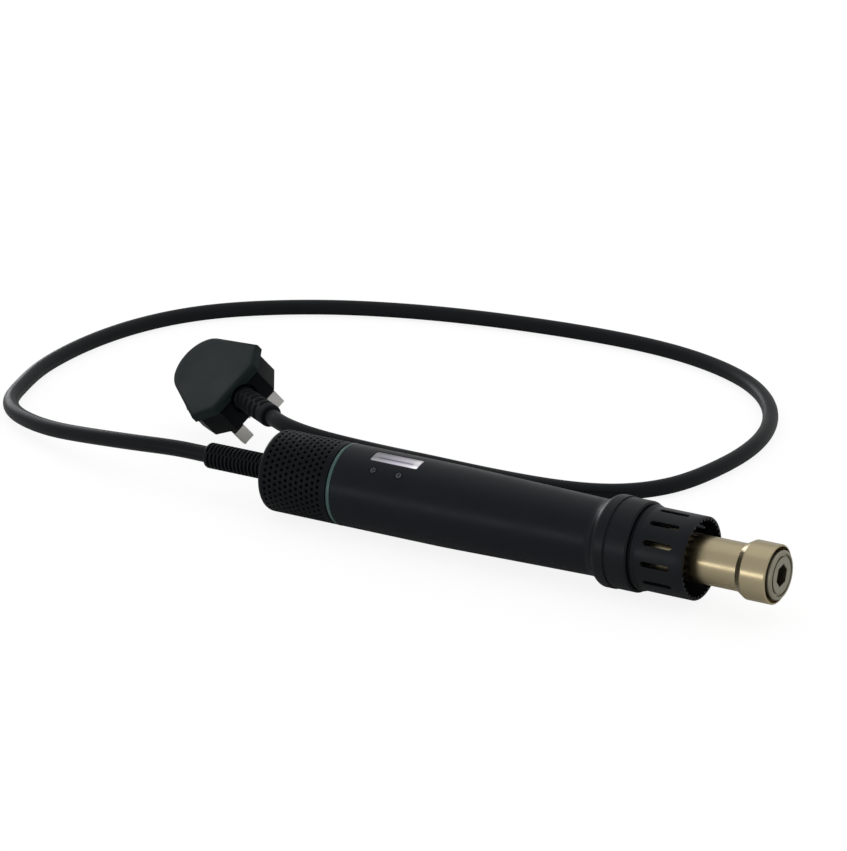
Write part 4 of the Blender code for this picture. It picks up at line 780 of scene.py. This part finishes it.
# Collar, seal and heat guard.
collar = Sizes(
    start=139.2, end=158.8, bodyRadius=18.95, flare=4.0, radius=21.4, groove=(147.3, 148.1),
    grooveDepth=0.6, frontRadius=21.0, chamfer=0.7, neckBore=14.4, bore=15.7, stop=(148.1, 152.1),
    stopBore=12.3,
)
seal = Sizes(start=159.1, end=160.1, radius=19.5, inner=14.4)
guard = Sizes(
    start=160.4, end=186.5, radius=19.2, shoulder=20.0, shoulderEnd=162.5, floor=162.4,
    bore=17.4, neck=14.1, neckEnd=154.2, tubeHole=12.3, slots=12, slotLength=14.6,
    slotWidth=2.5, slotStart=165.5, phase=-11.0, panel=(164.0, 181.6), toothPitch=10.0,
    toothColumns=(0.0, 3.2, 3.5, 6.0, 8.5, 8.8), inGap=(1, 1, 0, 0, 0, 1), toothDepth=1.2, toothWall=0.9,
)


def addCollar():
    # a quarter-round flare from the body's radius to the collar's, then a turned profile with a groove
    p = collar
    sweep = np.linspace(math.pi / 2, 0, 9)
    rise = p.radius - p.bodyRadius
    flare = [(p.start + p.flare * (1 - t / (math.pi / 2)), p.radius - rise * (1 - math.cos(t)))
             for t in sweep]
    low, high = p.groove
    depth = p.grooveDepth
    rest = rounded([(p.start + p.flare, p.radius, 0), (low, p.radius, 0.25),
                    (low, p.radius - depth, 0.1),
                    (high, p.frontRadius - depth, 0.1), (high, p.frontRadius, 0.2),
                    (p.end - p.chamfer, p.frontRadius, 0.3), (p.end, p.frontRadius - p.chamfer, 0.2),
                    (p.end, p.neckBore, 0.2), (p.stop[1], p.neckBore, 0.1),
                    (p.stop[1], p.stopBore, 0.1), (p.stop[0], p.stopBore, 0.1),
                    (p.stop[0], p.bore, 0.1), (p.start, p.bore, 0)], 4, False)
    addPiece("collar", [turned(flare[:-1] + rest.tolist())], onTool, "guard", ["front_collar"])
    s = seal
    addPiece("seal", [turned(rounded([(s.start, s.radius, 0.3), (s.end, s.radius, 0.3),
                                      (s.end, s.inner, 0.1), (s.start, s.inner, 0.1)]))],
             onTool, "gasket", ["guard_gasket"])


def addGuard():
    # a slotted wall between two turned ends, and square teeth in the inner half of the mouth's wall
    p = guard
    cell = 360 / p.slots
    pitches = int(cell / p.toothPitch)
    offsets = np.concatenate([np.array(p.toothColumns) + p.toothPitch * k for k in range(pitches)])
    angles = np.radians(np.append(offsets, cell) + p.phase - cell / 2)
    wall = p.radius - p.bore
    first, last = p.panel
    turns = np.radians(cell) * np.arange(p.slots)
    panel = holeCells(np.linspace(first, last, 11), angles,
                      (p.slotStart + p.slotLength / 2, math.radians(p.phase)), p.radius,
                      (p.slotLength / 2, p.slotWidth / 2), p.slotWidth / 2, wall, anchor=90.0,
                      moves=[(0.0, turn) for turn in turns])
    columns = (turns[:, None] + angles[None, :-1]).reshape(-1)
    rear = rounded([(first, p.radius, 0), (p.shoulderEnd, p.radius, 1.0), (p.start, p.shoulder, 0.25),
                    (p.start, p.neck, 0.2), (p.neckEnd, p.neck, 0.2), (p.neckEnd, p.tubeHole, 0.2),
                    (p.floor, p.tubeHole, 0.2), (p.floor, p.bore, 0.4), (first, p.bore, 0)], 3, False)
    gap = np.tile(np.array(p.inGap, float), pitches * p.slots)
    inner = p.bore + p.toothWall
    stations = [np.full(len(columns), s) for s in (last, p.end - 0.3, p.end - 0.08, p.end, p.end)]
    stations += [p.end - p.toothDepth * gap] * 2 + [np.full(len(columns), last)]
    outside = [p.radius - d for d in (0.0, 0.0, 0.08, 0.3)]
    radii = np.array(outside + [inner, inner, p.bore, p.bore])
    mouth = ringPoints(np.stack(stations), radii[:, None], columns[None])
    mouth = (mouth, gridFaces(len(radii), len(columns), False))
    addPiece("heatGuard", [panel, turned(rear, columns, False), mouth], onTool, "guard",
             ["heat_guard"], sharp=45.0)


addCollar()
addGuard()
print("collar and guard are made")

# Heater tube, and the nozzle head and disc that slide on it together.
heater = Sizes(rear=128.0, front=216.2, radius=11.0, bore=10.2, flange=(146.3, 147.8), flangeRadius=15.4)
head = Sizes(start=209.1, end=224.8, bore=11.3, lip=0.4, cone=3.4, radius=13.7, edgeRound=0.7,
             pocket=12.8, stop=(216.5, 219.0), throat=8.0)
disc = Sizes(rear=219.3, face=226.8, radius=11.35, edgeRound=1.2, groove=(8.5, 9.7), grooveDepth=1.0,
             acrossFlats=9.2, columns=144)


def addHeaterTube():
    # a turned tube with a flange between collar and guard
    p = heater
    low, high = p.flange
    addPiece("heaterSleeve", [turned(rounded([
        (p.front, p.radius, 0.2), (p.front, p.bore, 0.2), (p.rear, p.bore, 0.1),
        (p.rear, p.radius, 0.1), (low, p.radius, 0.1), (low, p.flangeRadius, 0.2),
        (high, p.flangeRadius, 0.2), (high, p.radius, 0.1)]))], onTool, "tube", ["heater_tube"])


def addHead():
    # a lip, a cone and a shell, bored for the tube, with a stop in it and a pocket for the disc
    p = head
    low, high = p.stop
    addPiece("nozzleHead", [turned(rounded([
        (p.start, p.bore, 0.1), (p.start, p.bore + p.lip, 0.15),
        (p.start + p.cone, p.radius, 1.6), (p.end, p.radius, p.edgeRound),
        (p.end, p.pocket, 0.15), (high, p.pocket, 0.1), (high, p.throat, 0.1), (low, p.throat, 0.1),
        (low, p.bore, 0.1)], 6))], onTool, "head", ["nozzle_shell"], "nozzle")


def addDisc():
    # a rounded rim, a groove round the raised middle, and a hexagon through it whose radius at an angle is half
    # the width across flats over the cosine of the angle from the nearest flat
    p = disc
    turn = np.arange(p.columns) * full / p.columns
    fromFlat = (turn + math.radians(30)) % math.radians(60) - math.radians(30)
    hexagon = p.acrossFlats / 2 / np.cos(fromFlat)
    low, high = p.groove
    face, floor = p.face, p.face - p.grooveDepth
    rim = rounded([(face, 0.5 * (hexagon.max() + low), 0), (face, low, 0.2), (floor, low + 0.1, 0.1),
                   (floor, high - 0.1, 0.1), (face, high, 0.25), (face, p.radius, p.edgeRound),
                   (p.rear, p.radius, 0.2), (p.rear, 7.0, 0)], 8, False)
    rows = [(p.rear, hexagon + 0.15), (p.rear + 0.15, hexagon), (face - 0.3, hexagon), (face, hexagon + 0.3)]
    rows += [(s, np.full(p.columns, r)) for s, r in rim]
    stations, radii = np.array([s for s, _ in rows]), np.stack([r for _, r in rows])
    points = ringPoints(stations[:, None], radii, turn[None])
    addPiece("outletDisc", [(points, gridFaces(len(rows), p.columns))], onTool, "disc",
             ["outlet_disc"], "nozzle", 35.0)


addHeaterTube()
addHead()
addDisc()
addDisplay()
addKeys()
print("tool is made")

# Plug: a base of two steps toward the cable, a cover plate, three pins, and sleeves on two of them.
plug = Sizes(
    deep=13.6, cableEdge=15.2, cableHalf=13.2, corner=3.8, half=21.2, shoulder=-10.0,
    farCentre=-20.9, farRadius=16.3, cornerRound=0.7, recess=7.2, recessDepth=3.0,
    edgeRound=0.35, past=40.0,
)
cover = Sizes(bottom=13.9, top=18.8, ledgeInset=1.2, ledgeGap=0.03, cableHalf=14.3, corner=4.8,
              half=23.7, edgeRound=1.7, chamfer=0.25)
pins = Sizes(spread=11.1, width=6.35, thick=3.97, length=17.7, sleeve=9.0, earthAt=-22.2,
             earthThick=7.92, earthWidth=3.97, earthLength=22.7, root=5.7, tipRound=0.9, pocket=6.3,
             pocketGap=0.6, sleeveWall=0.33, sleeveRoot=2.0, neck=0.35, corner=0.35)
fuse = Sizes(at=-11.0, radius=3.15, length=25.4, pocket=8.8, gap=1.2)


def plugOutline(front, shoulder, half, steps=48):
    # straight sides from the front corners (x, y, rounding), then lines that touch the big round far end, whose
    # radius is swept from one touching point to the other
    centre, radius = plug.farCentre, plug.farRadius
    tangent = math.atan2(half, shoulder - centre) + math.acos(radius / math.hypot(half, shoulder - centre))
    sweep = np.linspace(tangent, full - tangent, steps)
    corners = [(x, -y, r) for x, y, r in front[::-1]] + [(x, y, r) for x, y, r in front]
    if shoulder < front[-1][0]:
        corners = [(shoulder, -half, 3.0)] + corners + [(shoulder, half, 3.0)]
    line = rounded(corners, 6, False)
    arc = np.stack([centre + radius * np.cos(sweep), radius * np.sin(sweep)], 1)
    return np.concatenate([line, arc])


def boxShell(middle, size):
    # a box of three sizes about its middle
    x, y, z = [s / 2 for s in size]
    signs = np.array([(i, j, k) for k in (-1, 1) for i, j in ((-1, -1), (1, -1), (1, 1), (-1, 1))])
    faces = [(0, 3, 2, 1), (4, 5, 6, 7), (0, 1, 5, 4), (1, 2, 6, 5), (2, 3, 7, 6), (3, 0, 4, 7)]
    return np.array(middle) + signs * (x, y, z), np.array(faces)


def cutAway(piece, shells, place):
    # takes closed shells out of a piece, and leaves its mesh finished
    tool = addPiece("cutter", shells, place, "plug")
    cut = piece.modifiers.new("cut", "BOOLEAN")
    cut.operation, cut.solver, cut.object = "DIFFERENCE", "EXACT", tool
    bpy.context.view_layer.update()
    whole = bpy.data.meshes.new_from_object(piece.evaluated_get(bpy.context.evaluated_depsgraph_get()))
    piece.modifiers.clear()
    piece.data = whole
    bpy.data.objects.remove(tool)
    whole.shade_smooth()
    whole.set_sharp_from_angle(angle=math.radians(30))


def addPlug():
    # both halves are slabs, drawn in at their edges
    p, c, q = plug, cover, pins
    outline = plugOutline([(p.cableEdge, p.cableHalf, p.cornerRound), (p.corner, p.half, p.cornerRound)],
                          p.shoulder, p.half)
    # the ledge fills the seam under the cover, so that no light passes between the halves
    ledge = [(c.ledgeInset, p.deep), (c.ledgeInset, c.bottom - c.ledgeGap)]
    base = addPiece("plugBase", [slab(outline, edgeLevels(0.0, p.deep, p.edgeRound, 2) + ledge)], onPlug,
                    "plug", ["plug_base"], sharp=30.0)
    # taken out: the relief's bore, three pin pockets and the fuse's pocket
    rear = p.cableEdge - p.recessDepth
    reach = rounded([(rear, p.recess, 0.4), (p.past, p.recess, 0)], 3, False)
    points, faces = turned(np.concatenate([[(rear, 0.0)], reach, [(p.past, 0.0)]]), 48, False)
    shells = [(points + np.array([0, 0, plugRelief.axis]), faces)]
    for x, y, thick, width in ((0, -q.spread, q.thick, q.width), (0, q.spread, q.thick, q.width),
                               (q.earthAt, 0, q.earthThick, q.earthWidth)):
        shells.append(boxShell((x, y, 0), (thick + q.pocketGap, width + q.pocketGap, 2 * q.pocket)))
    shells.append(boxShell((fuse.at, 0, 0), (2 * fuse.radius + fuse.gap, fuse.length + fuse.gap,
                                                2 * fuse.pocket)))
    cutAway(base, shells, onPlug)
    lid = plugOutline([(p.cableEdge, c.cableHalf, 1.5), (c.corner, c.half, 2.8)], c.corner, c.half)
    top = addPiece("plugCover", [slab(lid, [(c.chamfer, c.bottom), (0.0, c.bottom + c.chamfer)]
                                      + edgeLevels(c.bottom, c.top, c.edgeRound, 6)[7:])],
                   onPlug, "plugCover", ["plug_cover"], sharp=40.0)
    cutAway(top, shells[:1], onPlug)
    return [base, top]


def addPins():
    # slabs with quarter-round tips; a sleeved pin is thinner where its sleeve is
    q = pins
    made = []
    for name, x, y, size, length, sleeve in (
            ("live", 0.0, -q.spread, (q.thick, q.width), q.length, q.sleeve),
            ("neutral", 0.0, q.spread, (q.thick, q.width), q.length, q.sleeve),
            ("earth", q.earthAt, 0.0, (q.earthThick, q.earthWidth), q.earthLength, 0.0)):
        outline = rectangle(*size, q.corner, 6) + np.array([x, y])
        t = np.linspace(0, math.pi / 2, 5)
        tip = [(q.tipRound * (1 - math.cos(a)), -length + q.tipRound * (1 - math.sin(a))) for a in t]
        upper = [(0.0, q.root)]
        if sleeve:
            upper = [(q.neck, q.root), (q.neck, -sleeve), (0.0, -sleeve - 0.05)]
        made.append(addPiece(name + "Pin", [slab(outline, upper + tip)], onPlug, "pin",
                             ["plug_pin_" + name], sharp=50.0))
        if sleeve:
            within = outline - q.sleeveWall * outwardOf(outline)
            rows = [(outline, q.sleeveRoot), (outline, -sleeve), (within, -sleeve), (within, q.sleeveRoot)]
            points = np.stack([atHeight(*row) for row in rows])
            made.append(addPiece(name + "Sleeve", [(points, gridFaces(4, len(outline)))], onPlug, "sleeve",
                                 sharp=50.0))
    return made


plugPieces = addPlug() + addPins() + [plugSleeve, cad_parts["fuse_carrier"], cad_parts["fuse"]]
tuple(leadPath[0])
print("plug is made")

# Inner pieces keep their CAD shapes and get their own finishes.
innerLooks = [
    (["intake_filter"], shaded("filterFoam", (0.012, 0.012, 0.013), 0.9, bump=0.6, depth=0.3)),
    (["gland_nut", "fan_housing", "inner_frame", "fuse_carrier"],
     shaded("greyNylon", (0.055, 0.056, 0.060), 0.5, grain=2000.0, bump=0.12)),
    (["fan_motor", "tact_switch_left", "tact_switch_right", "thermocouple"],
     shaded("motorSteel", (0.52, 0.52, 0.50), 0.32, metal=1.0, vary=0.06, grain=1600.0, bump=0.06)),
    (["impeller"], shaded("wheelBlack", (0.018, 0.018, 0.020), 0.4, grain=2000.0)),
    (["control_board"], shaded("boardGreen", (0.012, 0.085, 0.035), 0.35, grain=2600.0, coat=0.3)),
    (["display_module", "air_duct"], shaded("whiteNylon", (0.62, 0.60, 0.55), 0.45, grain=2000.0)),
    (["heater_base", "heater_core", "fuse"], shaded("firedClay", (0.66, 0.60, 0.50), 0.75, grain=1400.0, bump=0.3)),
    (["mica_sleeve"], shaded("micaSheet", (0.42, 0.36, 0.24), 0.35, patch=400.0, vary=0.25, grain=900.0)),
]
for nodes, look in innerLooks:
    for node in nodes:
        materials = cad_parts[node].data.materials
        materials.clear()
        materials.append(look)
print("inner finishes are set")

# Floor, lamps and world. Both the floor and the world are white to the camera, and the floor keeps the shadow.
studio = Sizes(floor=6.0, floorColour=0.80, shadowColour=0.22, floorGlow=0.87, floorRough=0.9,
               under=2e-4, backdrop=1.0, sky=0.55)
white = (1.0, 1.0, 1.0, 1.0)
lamps = [
    # name, place (m), target (m), width, height (m), watts, colour
    ("topLamp", (-0.1, 0.5, 1.6), (0.0, 0.05, 0.0), 2.4, 1.8, 3.0, (1.0, 0.99, 0.97)),
    ("frontLamp", (-0.55, -1.2, 0.12), (0.10, 0.0, 0.02), 0.50, 0.22, 0.90, (1.0, 0.97, 0.92)),
    ("fillLamp", (0.5, -1.4, 0.28), (0.0, 0.0, 0.02), 1.6, 0.5, 0.6, (1.0, 0.98, 0.95)),
    ("sideLamp", (-1.34, 0.82, 0.32), (0.06, 0.0, 0.03), 0.66, 0.42, 3.0, (0.97, 0.98, 1.0)),
]


def chooseByRay(tree, plain, seen, output):
    # the camera's own rays meet the second shader, and all others the first
    paths, choice = addNode(tree, "LightPath"), addNode(tree, "MixShader")
    for k, source in enumerate((paths.outputs["Is Camera Ray"], plain.outputs[0], seen.outputs[0])):
        tree.links.new(source, choice.inputs[k])
    tree.links.new(choice.outputs["Shader"], tree.nodes[output].inputs["Surface"])


def addFloor():
    # one square, just under the lowest point
    p = studio
    size = p.floor / 2
    mesh = bpy.data.meshes.new("floor")
    corners = ((-size, -size), (size, -size), (size, size), (-size, size))
    mesh.from_pydata([(x, y, -p.under) for x, y in corners], [], [(0, 1, 2, 3)])
    look, tree, plain = newLook("paleFloor")
    seen = addNode(tree, "BsdfPrincipled", {"Emission Color": white, "Emission Strength": p.floorGlow})
    for shader, shade in ((plain, p.floorColour), (seen, p.shadowColour)):
        setInputs(shader, {"Base Color": (shade, shade, shade, 1.0), "Roughness": p.floorRough,
                           "Specular IOR Level": 0.0})
    chooseByRay(tree, plain, seen, "Material Output")
    mesh.materials.append(look)
    floor = bpy.data.objects.new("floor", mesh)
    bpy.context.scene.collection.objects.link(floor)


def addLamp(name, place, target, width, height, watts, colour):
    # an area lamp whose Z axis points from its target back to it
    data = bpy.data.lights.new(name, "AREA")
    data.shape, data.size, data.size_y = "RECTANGLE", width, height
    data.energy, data.color = watts, colour
    lamp = bpy.data.objects.new(name, data)
    back = np.array(place) - np.array(target)
    back /= np.linalg.norm(back)
    side = np.cross((0.0, 0.0, 1.0), back)
    side /= np.linalg.norm(side)
    turn = np.eye(4)
    turn[:3, 0], turn[:3, 1], turn[:3, 2], turn[:3, 3] = side, np.cross(back, side), back, place
    lamp.matrix_world = Matrix(turn.tolist())
    bpy.context.scene.collection.objects.link(lamp)


def addWorld():
    # white to the camera, and a dimmer even sky for all else
    world = bpy.data.worlds.new("studio")
    world.use_nodes = True
    sky, backdrop = world.node_tree.nodes["Background"], addNode(world.node_tree, "Background")
    for light, strength in ((sky, studio.sky), (backdrop, studio.backdrop)):
        setInputs(light, {"Color": white, "Strength": strength})
    chooseByRay(world.node_tree, sky, backdrop, "World Output")
    bpy.context.scene.world = world


addFloor()
for lamp in lamps:
    addLamp(*lamp)
addWorld()
bpy.context.scene.view_settings.view_transform = "Standard"

print("floor, lamps and world are set")
